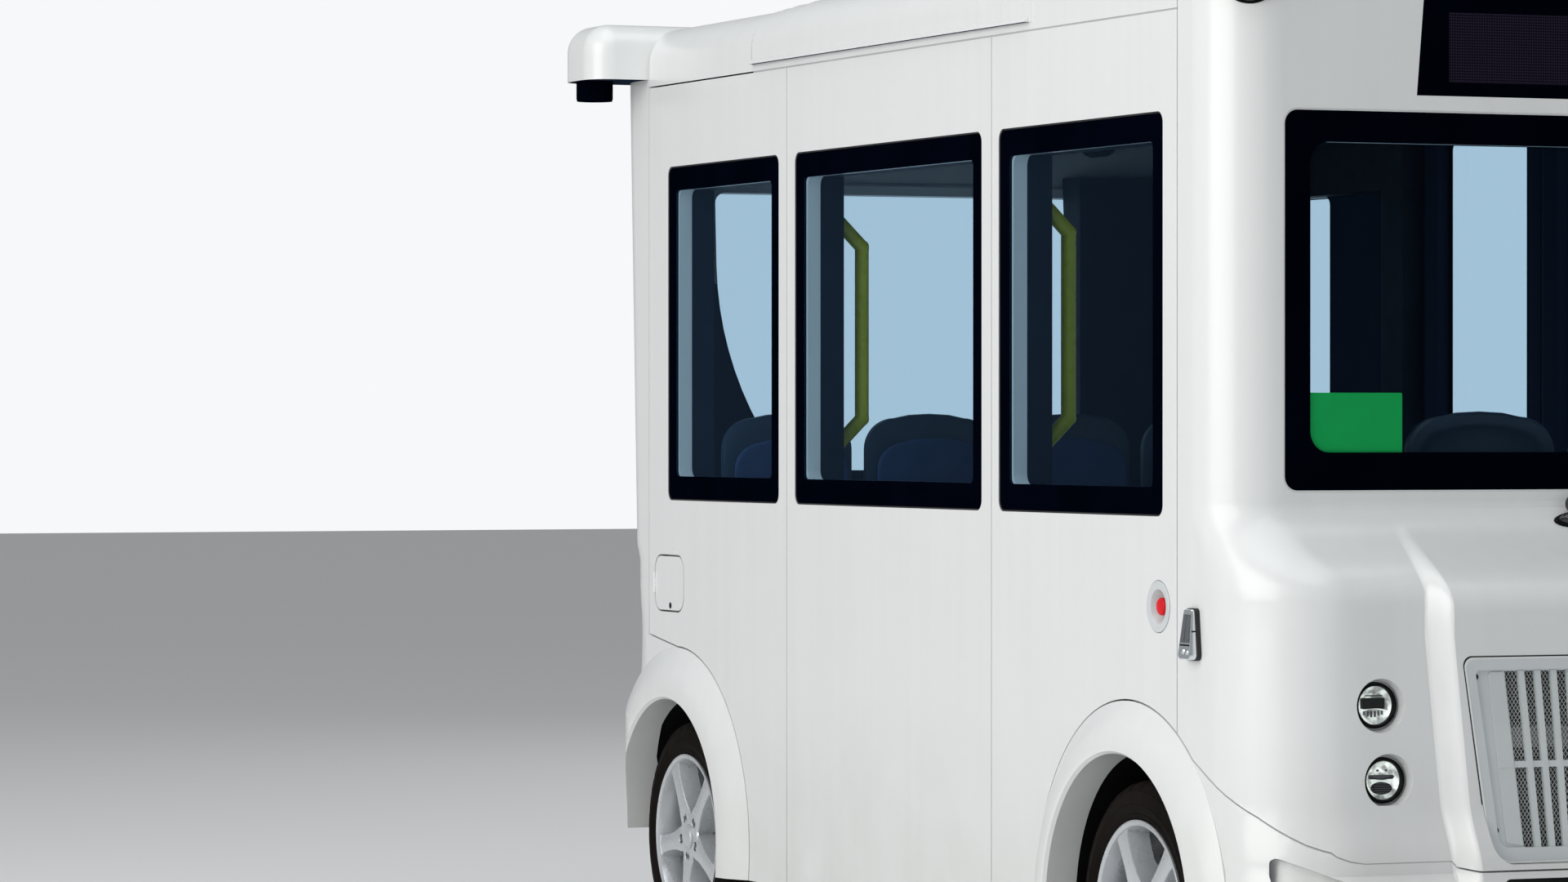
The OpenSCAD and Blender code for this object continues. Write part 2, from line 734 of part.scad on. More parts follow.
module rear_mask() {
    color("white") difference() {
        intersection() {
            rear_form();
            box([tail_end_x - 50, -half_w - 10, tail_split_z], [rear_seam_x, half_w + 10, roof_top + 10]);
        }
        rear_hollow();
        rear_plate(-cut, glass_in + glass_t + seat_gap) rear_outline(rear_border);
        rear_plate(-cut, wall_t + 60) rear_outline(0);
        rear_plate(-cut, 12) rear_sign_outline(trim);
        pod_seat(rear_pod);
    }
}

// Roof between the two masks, with its rounded long edges
roof_t = 30;

module roof_section(grow, below) {
    w = half_w + grow;
    z0 = roof_seam_z - below;
    z1 = roof_top + grow;
    r = roof_edge_r + grow;
    polygon(concat(
        [[-w, z0]], [for (a = [0 : 7.5 : 90]) [-w + r - r * cos(a), z1 - r + r * sin(a)]],
        [for (a = [90 : -7.5 : 0]) [w - r + r * cos(a), z1 - r + r * sin(a)]], [[w, z0]]));
}

module roof() {
    color("white") along_x(rear_seam_x + panel_gap / 2, front_seam_x - panel_gap / 2) difference() {
        roof_section(0, 0);
        roof_section(-roof_t, cut);
    }
}

// Raised cover over the middle of the roof, with a lip along its lower edges
cover_x = [door_rear_x - 235, front_axle_x - 517];
cover_t = 12;
lip_z = roof_seam_z + 18;

// Steps of the cover as [from its rear end, from its front end, height over the sides, height over the roof]
cover_form = [[0, 0, 1.5, 2], [60, 70, 2, 5], [140, 160, 2.5, 8.5], [250, 300, 3, cover_t]];

module cover_section(side, top) {
    w = half_w + side;
    z1 = roof_top + top;
    r = roof_edge_r + side;
    polygon(concat([[-w, roof_seam_z]],
        [for (a = [0 : 7.5 : 90]) [-w + r - r * cos(a), z1 - r + r * sin(a)]],
        [for (a = [90 : -7.5 : 0]) [w - r + r * cos(a), z1 - r + r * sin(a)]], [[w, roof_seam_z]]));
}

module roof_cover() {
    color("white") difference() {
        union() {
            for (s = cover_form) along_x(cover_x[0] + s[0], cover_x[1] - s[1]) cover_section(s[2], s[3]);
            both_sides() along_x(cover_x[0] + 6, cover_x[1] - 12)
                polygon([[-half_w + 20, lip_z - 2], [-half_w - 13, lip_z - 2], [-half_w - 13, lip_z + 2],
                    [-half_w - 1, lip_z + 12], [-half_w + 20, lip_z + 12]]);
        }
        along_x(cover_x[0] - cut, cover_x[1] + cut) roof_section(0, cut);
        box([cover_x[0] - cut, -half_w - 100, roof_seam_z - 60], [cover_x[1] + cut, half_w + 100, lip_z]);
    }
}

// Climate unit on the roof
unit_x = [door_rear_x + 116, door_front_x - 81];
unit_half_w = 520;
unit_h = 92;

// Layers of the unit's cover as [height, how far its edge is drawn in]
unit_layers = [[0, 4], [12, 0], [unit_h - 36, 0], [unit_h - 16, 8], [unit_h - 5, 24], [unit_h - 1, 46]];

module roof_unit() {
    z0 = roof_top + cover_t;
    color("white") difference() {
        translate([0, 0, z0]) hull() for (l = unit_layers)
            translate([0, 0, l[0]]) linear_extrude(1)
                round_rect([unit_x[0] + l[1], -unit_half_w + l[1]],
                    [unit_x[1] - l[1], unit_half_w - l[1]], 70 - l[1]);
        for (s = [-1, 1], i = [0 : 5])
            box([unit_x[0] + 180 + i * 120, s * (unit_half_w - 4) - 8, z0 + 14],
                [unit_x[0] + 280 + i * 120, s * (unit_half_w - 4) + 8, z0 + 34]);
        for (s = [0, 1], i = [0 : 5])
            box([unit_x[s] - 8, -350 + i * 120, z0 + 14], [unit_x[s] + 8, -250 + i * 120, z0 + 34]);
    }
}

// Sensor pods on two opposite roof corners: [rear end, front end]
pod_z = [roof_seam_z + 20, roof_top + 12];
rear_pod = [tail_x + 12, rear_seam_x - 6];
front_pod = [front_seam_x + 6, screen_x - 12];
pod_in = 250;
pod_wall = 12;

module pod_body(px) {
    r = 72;
    hull() {
        for (x = [px[0] + r, px[1] - r]) {
            translate([x, -half_w - pod_out + r, pod_z[0]]) cylinder(r = r, h = 60, $fn = 32);
            translate([x, -half_w - pod_out + r, pod_z[1] - r]) sphere(r = r, $fn = 32);
            translate([x, -half_w + pod_in - r, pod_z[1] - r]) sphere(r = r, $fn = 32);
            translate([x, -half_w + pod_in - r, pod_z[0]]) cylinder(r = r, h = 60, $fn = 32);
        }
    }
}

module pod_seat(px) {
    if (px == rear_pod) translate([0, trim, 0]) pod_body([px[0] - trim, px[1] + trim]);
    else on_left() translate([0, trim, 0]) pod_body([px[0] - trim, px[1] + trim]);
}

module pod() {
    color("white") children();
}

module sensor_pods() {
    pod() pod_body(rear_pod);
    pod() on_left() pod_body(front_pod);
}

function pod_mid(px) = (px[0] + px[1]) / 2;

module scanner() {
    color([0.05, 0.05, 0.06]) cylinder(d = scanner_d, h = scanner_h - 6);
    color("silver") translate([0, 0, -5]) cylinder(d = scanner_d - 3, h = 5);
}

scanner_reach = pod_out - 55;

module laser_scanners() {
    for (s = [[pod_mid(rear_pod), -1], [pod_mid(front_pod), 1]])
        translate([s[0], s[1] * (half_w + scanner_reach), pod_z[0] - scanner_h + 6]) scanner();
}

// Side windows: right side in three panels, left side beside the door
module pane(w) {
    along_y(-half_w + glass_in, -half_w + glass_in + glass_t)
        round_rect([w[0], window_z0], [w[1], window_z0 + window_h], window_r - trim);
}

module side_windows() {
    color([0.1, 0.2, 0.25, 0.5]) {
        for (w = [window_rear, window_middle, window_front]) pane(w);
        on_left() for (w = [window_rear_left, window_front]) pane(w);
        rear_plate(glass_in, glass_in + glass_t) rear_outline(rear_border - trim);
    }
}

module sign_panels() {
    color("black") {
        along_x(screen_x - 12 + seat_gap, screen_x - 2) sign_outline(-trim);
        rear_plate(2, 12 - seat_gap) rear_sign_outline(0);
    }
}

// Radiator grille: frame with a recessed field, fanned upright slats and one cross bar before a plate
slat_n = 18;
slat_w = 14;
slat_t = 12;
field_half_w = [402, 457];
field_z = [502, 888];
mesh_half_w = [334, 383];
mesh_z = [501, 885];
bar_z = [675, 689];
field_in = 7;

// An upright band of the grille at the fraction k of the mesh's half width
function band(k, w0, z0, z1) = [
    [k * mesh_half_w[0] - w0, z0], [k * mesh_half_w[0] + w0, z0],
    [k * mesh_half_w[1] + w0, z1], [k * mesh_half_w[1] - w0, z1]
];

module grille() {
    color([0.75, 0.79, 0.79]) {
        difference() {
            along_x(bonnet_x - grille_seat + 1, bonnet_x + 3) grille_outline(0);
            along_x(bonnet_x + 3 - field_in, bonnet_x + cut) hull() for (s = [-1, 1]) {
                translate([s * (field_half_w[0] - 30), field_z[0] + 30]) circle(r = 30, $fn = 32);
                translate([s * (field_half_w[1] - 10), field_z[1] - 10]) circle(r = 10, $fn = 32);
            }
            along_x(bonnet_x - grille_seat - cut, bonnet_x + cut) polygon([
                [-mesh_half_w[0], mesh_z[0]], [mesh_half_w[0], mesh_z[0]],
                [mesh_half_w[1], mesh_z[1]], [-mesh_half_w[1], mesh_z[1]]]);
        }
        for (i = [1 : slat_n])
            along_x(bonnet_x - slat_t, bonnet_x - 1)
                polygon(band(2 * i / (slat_n + 1) - 1, slat_w / 2, mesh_z[0] - 2, mesh_z[1] + 2));
        along_x(bonnet_x - slat_t, bonnet_x - 3)
            polygon([[-360, bar_z[0]], [360, bar_z[0]], [362, bar_z[1]], [-362, bar_z[1]]]);
    }
    color([0.1, 0.1, 0.1]) along_x(bonnet_x - grille_seat - 5, bonnet_x - grille_seat + 1)
        grille_outline(-30);
}

module round_lamp(x, y, z, dir) {
    translate([x, y, z]) rotate([0, dir * 90, 0]) {
        color([0.05, 0.05, 0.05]) difference() {
            cylinder(r = lamp_r, h = 12);
            translate([0, 0, 3]) cylinder(r = lamp_r - 8, h = 20);
        }
        color("silver") translate([0, 0, -30]) cylinder(r = lamp_r - 10, h = 30);
        color([0.8, 0.85, 0.88, 0.5]) translate([0, 0, 3]) cylinder(r = lamp_r - 8, h = 6);
    }
}

module headlamps() {
    both_sides() for (i = [0, 1])
        round_lamp(cheek_x - lamp_depth - 2, -lamp_y[i], lamp_z[i], 1);
}

tail_lamp_y = half_w - 210;
tail_lamp_z = [905, 760];

module tail_lamp_hole(z) {
    translate([rear_face(z) - 40, -tail_lamp_y, z]) rotate([0, 90, 0]) cylinder(r = lamp_r + 1, h = 130);
}

module tail_lamps() {
    color("red") both_sides() for (z = tail_lamp_z) {
        translate([rear_face(z) + 4, -tail_lamp_y, z]) rotate([0, 90, 0]) cylinder(r = lamp_r, h = 40);
        translate([rear_face(z) - 6, -tail_lamp_y, z]) rotate([0, 90, 0])
            cylinder(r1 = lamp_r - 12, r2 = lamp_r, h = 10);
    }
}

// Tear-shaped direction lamps on the front corners
marker_x = front_seam_x + 88;
marker_z = 960.5;
marker_base = 12;

// Corners of the tapered outline as [across, up, radius, how far the lens stands out]
marker_corners = [[19, -43.5, 14, 30], [13, 47.5, 10, 20]];

module marker_part(inset, from, share) {
    hull() for (c = marker_corners, s = [-1, 1])
        translate([marker_x + s * c[0], -half_w - from, marker_z + c[1]]) rotate([90, 0, 0])
            cylinder(r1 = c[2] - inset, r2 = c[2] - inset - (share > 0 ? 3 : 0),
                h = share > 0 ? c[3] - from : marker_base - from, $fn = 24);
}

module side_markers() {
    both_sides() {
        color([0.1, 0.1, 0.1]) marker_part(0, 0.3, 0);
        color("silver") marker_part(2, marker_base, 1);
    }
}

module stop_buttons() {
    both_sides() translate([stop_x, -half_w, stop_z]) rotate([-90, 0, 0]) {
        color([0.85, 0.9, 0.9]) difference() {
            translate([0, 0, -3]) cylinder(r = stop_dish_r, h = 28);
            translate([0, 0, -4]) cylinder(r1 = stop_dish_r - 18, r2 = stop_dish_r - 30, h = 24);
        }
        color("red") {
            translate([0, 0, 2]) cylinder(r = 20, h = 10);
            translate([0, 0, 12]) cylinder(r = 11, h = 9);
        }
    }
}

module charge_flap() {
    z = flap_knuckles[1] + 0.5;
    h = flap_knuckles[2] - flap_knuckles[1] - 1;
    color("white") difference() {
        union() {
            along_y(-half_w, -half_w + flap_t)
                round_rect([flap_x[0], flap_z[0]], [flap_x[1], flap_z[1]], flap_r);
            translate([flap_pin[0], flap_pin[1], z]) cylinder(r = flap_knuckle_r, h = h);
        }
        translate([flap_pin[0], flap_pin[1], z - 1]) cylinder(r = flap_pin_r + bore_gap, h = h + 2);
        for (k = [0, 2]) translate([flap_pin[0], flap_pin[1], flap_knuckles[k] - 0.6])
            cylinder(r = flap_knuckle_r + 0.8, h = flap_knuckles[k + 1] - flap_knuckles[k] + 1.1);
    }
}

module charge_socket() {
    mid = [(flap_x[0] + flap_x[1]) / 2, (flap_z[0] + flap_z[1]) / 2];
    pocket_y = -half_w + pocket_depth;
    color([0.12, 0.12, 0.12]) difference() {
        translate([mid[0], pocket_y - inlet_h, mid[1]]) rotate([-90, 0, 0])
            cylinder(r = inlet_r + 8, h = inlet_h - seat_gap);
        translate([mid[0], pocket_y - inlet_h - 1, mid[1]]) rotate([-90, 0, 0])
            cylinder(r = inlet_r, h = inlet_h - 2);
    }
}

// Wiper on a pivot below the windscreen, parked across its lower border
wiper_y = -85;
wiper_z = screen_z0 - 28;
wiper_l = 620;
wiper_pin_r = 8;

module wiper_arm() {
    color([0.08, 0.08, 0.08]) {
        difference() {
            translate([screen_x + 16, wiper_y, wiper_z]) rotate([0, 90, 0]) cylinder(r = 18, h = 24);
            translate([screen_x + 15, wiper_y, wiper_z]) rotate([0, 90, 0])
                cylinder(r = wiper_pin_r + bore_gap, h = 17);
        }
        box([screen_x + 22, wiper_y + 12, wiper_z - 8], [screen_x + 32, wiper_y + wiper_l, wiper_z + 8]);
        box([screen_x + 8, wiper_y + 60, wiper_z + 2],
            [screen_x + 22.2, wiper_y + wiper_l + 60, wiper_z + 8]);
    }
}

// Posts, sills, headers and roof bows inside the panels, seated on each other
// Locker for the control units in the rear left corner, above the seat backs
locker = [-rear_seam_x + 89.5, 390, 1290, 2120];

module rear_locker() {
    x0 = -locker[0];
    t = 4;
    translate([0, locker[1] + t, 0]) rotate([90, 0, 0]) linear_extrude(t)
        polygon([[x0 + t, locker[2]], [x0 + t, locker[3]],
            [rear_face(locker[3]) + wall_t + 9, locker[3]],
            [rear_face(locker[2]) + wall_t + 28, locker[2]]]);
    box([x0, locker[1], locker[2]], [x0 + t, half_w - wall_t - 10, locker[3]]);
    box([x0, half_w - wall_t - 10 - t, locker[2]], [rear_seam_x + 24, half_w - wall_t - 10, locker[3]]);
}

module cabin_frame() {
    inner = half_w - wall_t - seat_gap;
    depth = 65;
    frame_x = [rear_seam_x + 20, front_seam_x - 10];
    posts = [
        [frame_x[0], window_rear[0] + border_w],
        [window_rear[1] - border_w, window_middle[0] + border_w],
        [window_middle[1] - border_w, window_front[0] + border_w],
        [window_front[1] - border_w, front_seam_x + 30]
    ];
    sill_z1 = window_z0 + border_w;
    head_z = window_z0 + window_h - border_w;
    bow_z = roof_seam_z - 40;
    color([0.16, 0.17, 0.19]) {
        difference() {
            for (s = [-1, 1]) {
                y0 = s > 0 ? inner - depth : -inner;
                y1 = s > 0 ? inner : -inner + depth;
                for (p = posts) box([p[0], y0, floor_z], [p[1], y1, head_z - seat_gap]);
                for (i = s > 0 ? [0, 2] : [0, 1, 2])
                    box([posts[i][1] + seat_gap, y0, sill_z1 - 60],
                        [posts[i + 1][0] - seat_gap, y1, sill_z1]);
                box([frame_x[0], y0, head_z], [frame_x[1], y1, bow_z]);
            }
            box([door_rear_x + 5, inner - depth - cut, floor_z - 1],
                [door_front_x - 5, inner + cut, bow_z + 1]);
            for (x = [front_axle_x, rear_axle_x]) translate([x, 0, axle_z]) rotate([90, 0, 0])
                cylinder(r = arch_r + 13, h = body_w, center = true);
        }
        rear_locker();
        for (x = [frame_x[0], door_rear_x - 65, door_front_x + 5, frame_x[1] - 60])
            box([x, -inner + 57, bow_z + seat_gap], [x + 60, inner - 57, roof_top - roof_t - seat_gap]);
    }
}

module wheel_house(x, y_in) {
    translate([x, -half_w + wall_t + 0.3, axle_z]) rotate([-90, 0, 0]) difference() {
        cylinder(r = arch_r + 10, h = half_w - wall_t - y_in);
        translate([0, 0, -1]) cylinder(r = arch_r + 2, h = half_w - wall_t - y_in - 8);
        translate([-500, 100, -10]) cube([1000, 500, 600]);
        translate([-150, -130, half_w - wall_t - y_in - 20]) cube([300, 400, 40]);
    }
}

house_y = half_w - 390;

module wheel_houses() {
    color([0.1, 0.1, 0.1]) both_sides() {
        wheel_house(front_axle_x, house_y);
        difference() {
            wheel_house(rear_axle_x, house_y);
            difference() {
                box([tail_end_x, -half_w, 0], [tail_end_x + low_rear_r, 0, 900]);
                translate([tail_end_x + low_rear_r, -half_w + low_rear_r, -1])
                    cylinder(r = (low_rear_r - wall_t) * cos(11.25) - 2, h = 1000);
                box([tail_end_x, -half_w + low_rear_r, -1], [rear_axle_x, 1, 1001]);
            }
        }
    }
}

floor_t = 40;

module floor_pan() {
    color([0.35, 0.36, 0.38]) difference() {
        box([rear_seam_x - 90, -half_w + wall_t + seat_gap, floor_z - floor_t],
            [front_seam_x + 90, half_w - wall_t - seat_gap, floor_z]);
        box([door_rear_x, half_w - wall_t - door_gap, floor_z - floor_t - 1],
            [door_front_x, half_w, floor_z + 1]);
        for (s = [-1, 1], x = [front_axle_x, rear_axle_x])
            translate([x, s > 0 ? house_y - 10 : -half_w, axle_z]) rotate([-90, 0, 0])
                cylinder(r = arch_r + 14, h = half_w - house_y + 10);
    }
}

rail_y = [330, 410];
rail_z = [230, 340];
rail_x = [tail_end_x + 120, cheek_x - 50];
battery_x = [rear_axle_x + 627, front_axle_x - 502];
cross_x = [rail_x[0] + 40, rear_axle_x + 247, battery_x[0] - 30, battery_x[1] + 30, front_axle_x - 257,
    front_axle_x + 227, rail_x[1] - 40];
carrier_x = [rear_axle_x + 587, (battery_x[0] + battery_x[1]) / 2, door_front_x - 80];

module chassis_frame() {
    color([0.15, 0.15, 0.16]) {
        difference() {
            union() {
                both_sides()
                    box([rail_x[0], -rail_y[1], rail_z[0]],
                        [rail_x[1], -rail_y[0], floor_z - floor_t - seat_gap]);
                for (x = cross_x) box([x - 25, -rail_y[0] + seat_gap, rail_z[0] + 20],
                    [x + 25, rail_y[0] - seat_gap, rail_z[0] + 90]);
                both_sides() for (x = carrier_x)
                    box([x - 25, -half_w + wall_t + threshold + seat_gap, floor_z - floor_t - 50],
                        [x + 25, -rail_y[1] - seat_gap, floor_z - floor_t - seat_gap]);
            }
            for (x = [front_axle_x, rear_axle_x])
                box([x - 130, -rail_y[1] - 1, 0], [x + 130, rail_y[1] + 1, axle_z + 25]);
        }
        for (x = [rail_x[0] - 20 - seat_gap, rail_x[1] + seat_gap])
            box([x, -house_y + 10, rail_z[0] + 70], [x + 20, house_y - 10, rail_z[0] + 170]);
    }
}

module battery_space(g) {
    box([battery_x[0] - g, -rail_y[0] + seat_gap - g, 190 - g],
        [battery_x[1] + g, rail_y[0] - seat_gap + g, floor_z - 45 + g]);
}

module battery_block() {
    color([0.2, 0.21, 0.23]) battery_space(0);
}

// Wheels
tyre_y = [half_w - tyre_inset - tyre_w, half_w - tyre_inset];
tyre_mid = (tyre_y[0] + tyre_y[1]) / 2;
kingpin_y = tyre_mid - kingpin_inset;

// side is -1 on the right and 1 on the left
module wheel_place(x, side) {
    translate([x, side * tyre_mid, axle_z]) rotate([-90 * side, 0, 0]) children();
}

module tyre_at(x, side) {
    h = tyre_w / 2;
    color([0.06, 0.06, 0.06]) wheel_place(x, side) rotate_extrude($fn = 96)
        polygon([
            [rim_r - 8, -h + 14], [rim_r + 4, -h + 7], [rim_r + 40, -h], [tyre_r - 24, -h + 6],
            [tyre_r - 8, -h + 16], [tyre_r, -h + 34], [tyre_r, h - 34], [tyre_r - 8, h - 16],
            [tyre_r - 24, h - 6], [rim_r + 40, h], [rim_r + 4, h - 7], [rim_r - 8, h - 14]
        ]);
}

spoke_n = 5;
hub_r = 72;
disc_r = 140;

// Wheel with its hub and brake disc; the outer side is at +Z here
module wheel_body() {
    h = tyre_w / 2;
    color([0.75, 0.76, 0.78]) difference() {
        union() {
            rotate_extrude($fn = 96) polygon([
                [rim_r - 8.3, -h + 14], [rim_r + 2, -h + 6], [rim_r + 2, -h + 2], [rim_r - 12, -h + 2],
                [rim_r - 28, -h + 22], [rim_r - 34, -20], [rim_r - 22, h - 30], [rim_r - 14, h - 2],
                [rim_r + 2, h - 2], [rim_r + 2, h - 6], [rim_r - 8.3, h - 14], [rim_r - 22, -20]
            ]);
            translate([0, 0, h - 58]) cylinder(r = hub_r, h = 30);
            translate([0, 0, -10]) cylinder(r = 44, h = h - 45);
            for (i = [0 : spoke_n - 1]) rotate([0, 0, i * 360 / spoke_n + 34]) rotate([90, 0, 90])
                linear_extrude(rim_r - 14)
                    polygon([[-30, h - 50], [30, h - 50], [22, h - 22], [-22, h - 22]]);
            translate([0, 0, -12]) cylinder(r = disc_r, h = 22);
        }
        translate([0, 0, -20]) cylinder(r = spindle_r + bore_gap, h = h - 20);
        for (i = [0 : spoke_n - 1]) rotate([0, 0, i * 360 / spoke_n + 34])
            translate([56, 0, h - 40]) cylinder(r = 11, h = 30, $fn = 24);
    }
}

module wheel_at(x, side) {
    wheel_place(x, side) wheel_body();
}

// Front axle: a beam with a fork at each end that holds the kingpin
fork_z = [axle_z - 112, axle_z + 88];
fork_t = 24;

module front_axle() {
    x = front_axle_x;
    color([0.2, 0.2, 0.22]) {
        box([x - 45, -kingpin_y + 140, axle_z - 60], [x + 45, kingpin_y - 140, axle_z + 20]);
        both_sides() {
            box([x - 30, -kingpin_y + 85, fork_z[0]], [x + 30, -kingpin_y + 220, fork_z[1] + fork_t]);
            for (z = fork_z) {
                box([x - 24, -kingpin_y, z], [x + 24, -kingpin_y + 100, z + fork_t]);
                translate([x, -kingpin_y, z]) cylinder(r = 24, h = fork_t);
            }
            translate([x, -kingpin_y, fork_z[0]]) cylinder(r = kingpin_r, h = fork_z[1] - fork_z[0] + fork_t);
            box([x - 40, -rail_y[1] + 5, axle_z + 19], [x + 40, -rail_y[0] - 5, axle_z + 24.7]);
        }
    }
}

arm_back = 120;
arm_z = axle_z - 44;

module knuckle() {
    x = front_axle_x;
    color([0.3, 0.3, 0.32]) difference() {
        union() {
            translate([x, -kingpin_y, fork_z[0] + fork_t + 1])
                cylinder(r = 26, h = fork_z[1] - fork_z[0] - fork_t - 2);
            translate([x, -kingpin_y, axle_z]) rotate([90, 0, 0]) cylinder(r = 34, h = 28);
            translate([x, -kingpin_y, axle_z]) rotate([90, 0, 0])
                cylinder(r = spindle_r, h = tyre_mid - kingpin_y + 52);
            box([x - arm_back, -kingpin_y - 12, arm_z - 8], [x, -kingpin_y + 12, arm_z + 8]);
            translate([x - arm_back, -kingpin_y, arm_z - 8]) cylinder(r = 16, h = 16);
        }
        translate([x, -kingpin_y, 0]) cylinder(r = kingpin_r + bore_gap, h = 700);
    }
}

module rear_axle() {
    x = rear_axle_x;
    color([0.2, 0.2, 0.22]) {
        box([x - 45, -tyre_mid + 130, axle_z - 60], [x + 45, tyre_mid - 130, axle_z + 20]);
        translate([x, 40, axle_z - 50]) rotate([90, 0, 0]) cylinder(r = 84, h = 260, center = true);
        both_sides() {
            translate([x, -tyre_mid + 60, axle_z]) rotate([-90, 0, 0]) cylinder(r = 70, h = 75);
            translate([x, -tyre_mid - 52, axle_z]) rotate([-90, 0, 0]) cylinder(r = spindle_r, h = 150);
            box([x - 40, -rail_y[1] + 5, axle_z + 19], [x + 40, -rail_y[0] - 5, axle_z + 24.7]);
        }
    }
}

// Two rows of four seats that face each other
seat_ys = [-1.5 * seat_pitch, -0.5 * seat_pitch, 0.5 * seat_pitch, 1.5 * seat_pitch];
cushion_z = 850;
front_row_x = front_axle_x + 262;
rear_row_x = rear_axle_x + 10;
back_t = 55;

module seat_back(t, w, low, top) {
    along_x(0, t) hull() {
        translate([-w / 2, low]) square([w, 100]);
        for (s = [-1, 1]) translate([s * (w / 2 - 90), top - 90]) circle(r = 90, $fn = 32);
    }
}

module seat_shell() {
    seat_back(back_t - 25, seat_w - 20, cushion_z - 80, seat_top_z);
    box([-430, -seat_w / 2 + 10, cushion_z - 90], [back_t - 25, seat_w / 2 - 10, cushion_z - 60]);
}

module seat_pad() {
    translate([-30 - seat_gap, 0, 0]) seat_back(30, seat_w - 50, cushion_z - 40, seat_top_z - 60);
    box([-425, -seat_w / 2 + 15, cushion_z - 60 + seat_gap],
        [-30 - 2 * seat_gap, seat_w / 2 - 15, cushion_z]);
}

module row(x, turned) {
    for (y = seat_ys) translate([x, y, 0]) rotate([0, 0, turned ? 180 : 0]) children();
}

module seat_plinth(x0, x1) {
    difference() {
        box([x0, -half_w + wall_t + 70, floor_z + seat_gap], [x1, half_w - wall_t - 70, cushion_z - 90]);
        box([x0 + 25, -half_w + wall_t + 95, floor_z - 1], [x1 - 25, half_w - wall_t - 95, cushion_z - 115]);
        for (s = [-1, 1], x = [front_axle_x, rear_axle_x])
            translate([x, s > 0 ? house_y - 10 : -half_w, axle_z]) rotate([-90, 0, 0])
                cylinder(r = arch_r + 14, h = half_w - house_y + 10);
    }
}

module seat_shells() {
    color([0.1, 0.13, 0.18]) {
        row(front_row_x, false) seat_shell();
        row(rear_row_x, true) seat_shell();
        seat_plinth(front_row_x - 400, front_row_x + 30);
        seat_plinth(rear_row_x - 30, rear_row_x + 400);
    }
}

module seat_pads() {
    color([0.1, 0.2, 0.45]) {
        row(front_row_x, false) seat_pad();
        row(rear_row_x, true) seat_pad();
    }
}

// Upright grab handle with angled ends, on the post at station x
handle_z = [1350, 1962];
handle_off = 85;

module grab_handle(x) {
    y0 = -half_w + wall_t + 65.5;
    y1 = y0 + handle_off;
    translate([x, y1, handle_z[0] + handle_off])
        cylinder(r = handle_r, h = handle_z[1] - handle_z[0] - 2 * handle_off);
    for (e = [[handle_z[0] + handle_off, 1], [handle_z[1] - handle_off, -1]]) {
        translate([x, y1, e[0]]) sphere(r = handle_r + 1);
        translate([x, y1, e[0]]) rotate([e[1] > 0 ? 135 : 45, 0, 0])
            cylinder(r = handle_r, h = handle_off * 1.3);
    }
}

module grab_handles() {
    color([0.75, 0.8, 0.1]) intersection() {
        union() {
            for (x = [door_rear_x + 33, door_front_x + 12]) grab_handle(x);
            on_left() grab_handle(door_front_x + 45);
        }
        box([rear_seam_x, -half_w + wall_t + 65.6, 0], [front_seam_x, half_w - wall_t - 65.6, roof_top]);
    }
}

chassis_frame();
battery_block();
floor_pan();
wheel_houses();
cabin_frame();
panel_right_front();
panel_right_middle();
panel_right_rear();
panel_left_front();
panel_left_rear();
door_surround();
front_mask();
front_bumper();
rear_mask();
rear_bumper();
roof();
roof_cover();
roof_unit();
sensor_pods();
laser_scanners();
windscreen();
side_windows();
sign_panels();
grille();
headlamps();
tail_lamps();
side_markers();
stop_buttons();
charge_flap();
charge_socket();
wiper_arm();
seat_shells();
seat_pads();
grab_handles();
front_axle();
rear_axle();
knuckle();  // knuckle_right
on_left() knuckle();  // knuckle_left
tyre_at(front_axle_x, -1);  // tyre_front_right
wheel_at(front_axle_x, -1);  // rim_front_right
tyre_at(front_axle_x, 1);  // tyre_front_left
wheel_at(front_axle_x, 1);  // rim_front_left
tyre_at(rear_axle_x, -1);  // tyre_rear_right
wheel_at(rear_axle_x, -1);  // rim_rear_right
tyre_at(rear_axle_x, 1);  // tyre_rear_left
wheel_at(rear_axle_x, 1);  // rim_rear_left
mirror_door() door_leaf();  // door_leaf_front
mirror_door() door_glass();  // door_glass_front
door_leaf();  // door_leaf_rear
door_glass();  // door_glass_rear
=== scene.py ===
# Small driverless passenger shuttle for airport aprons.
# Frame: +X forward, +Y to the vehicle's left, +Z up, metres, origin on the ground.
import json
import math

import bmesh
import bpy
from mathutils import Matrix, Vector


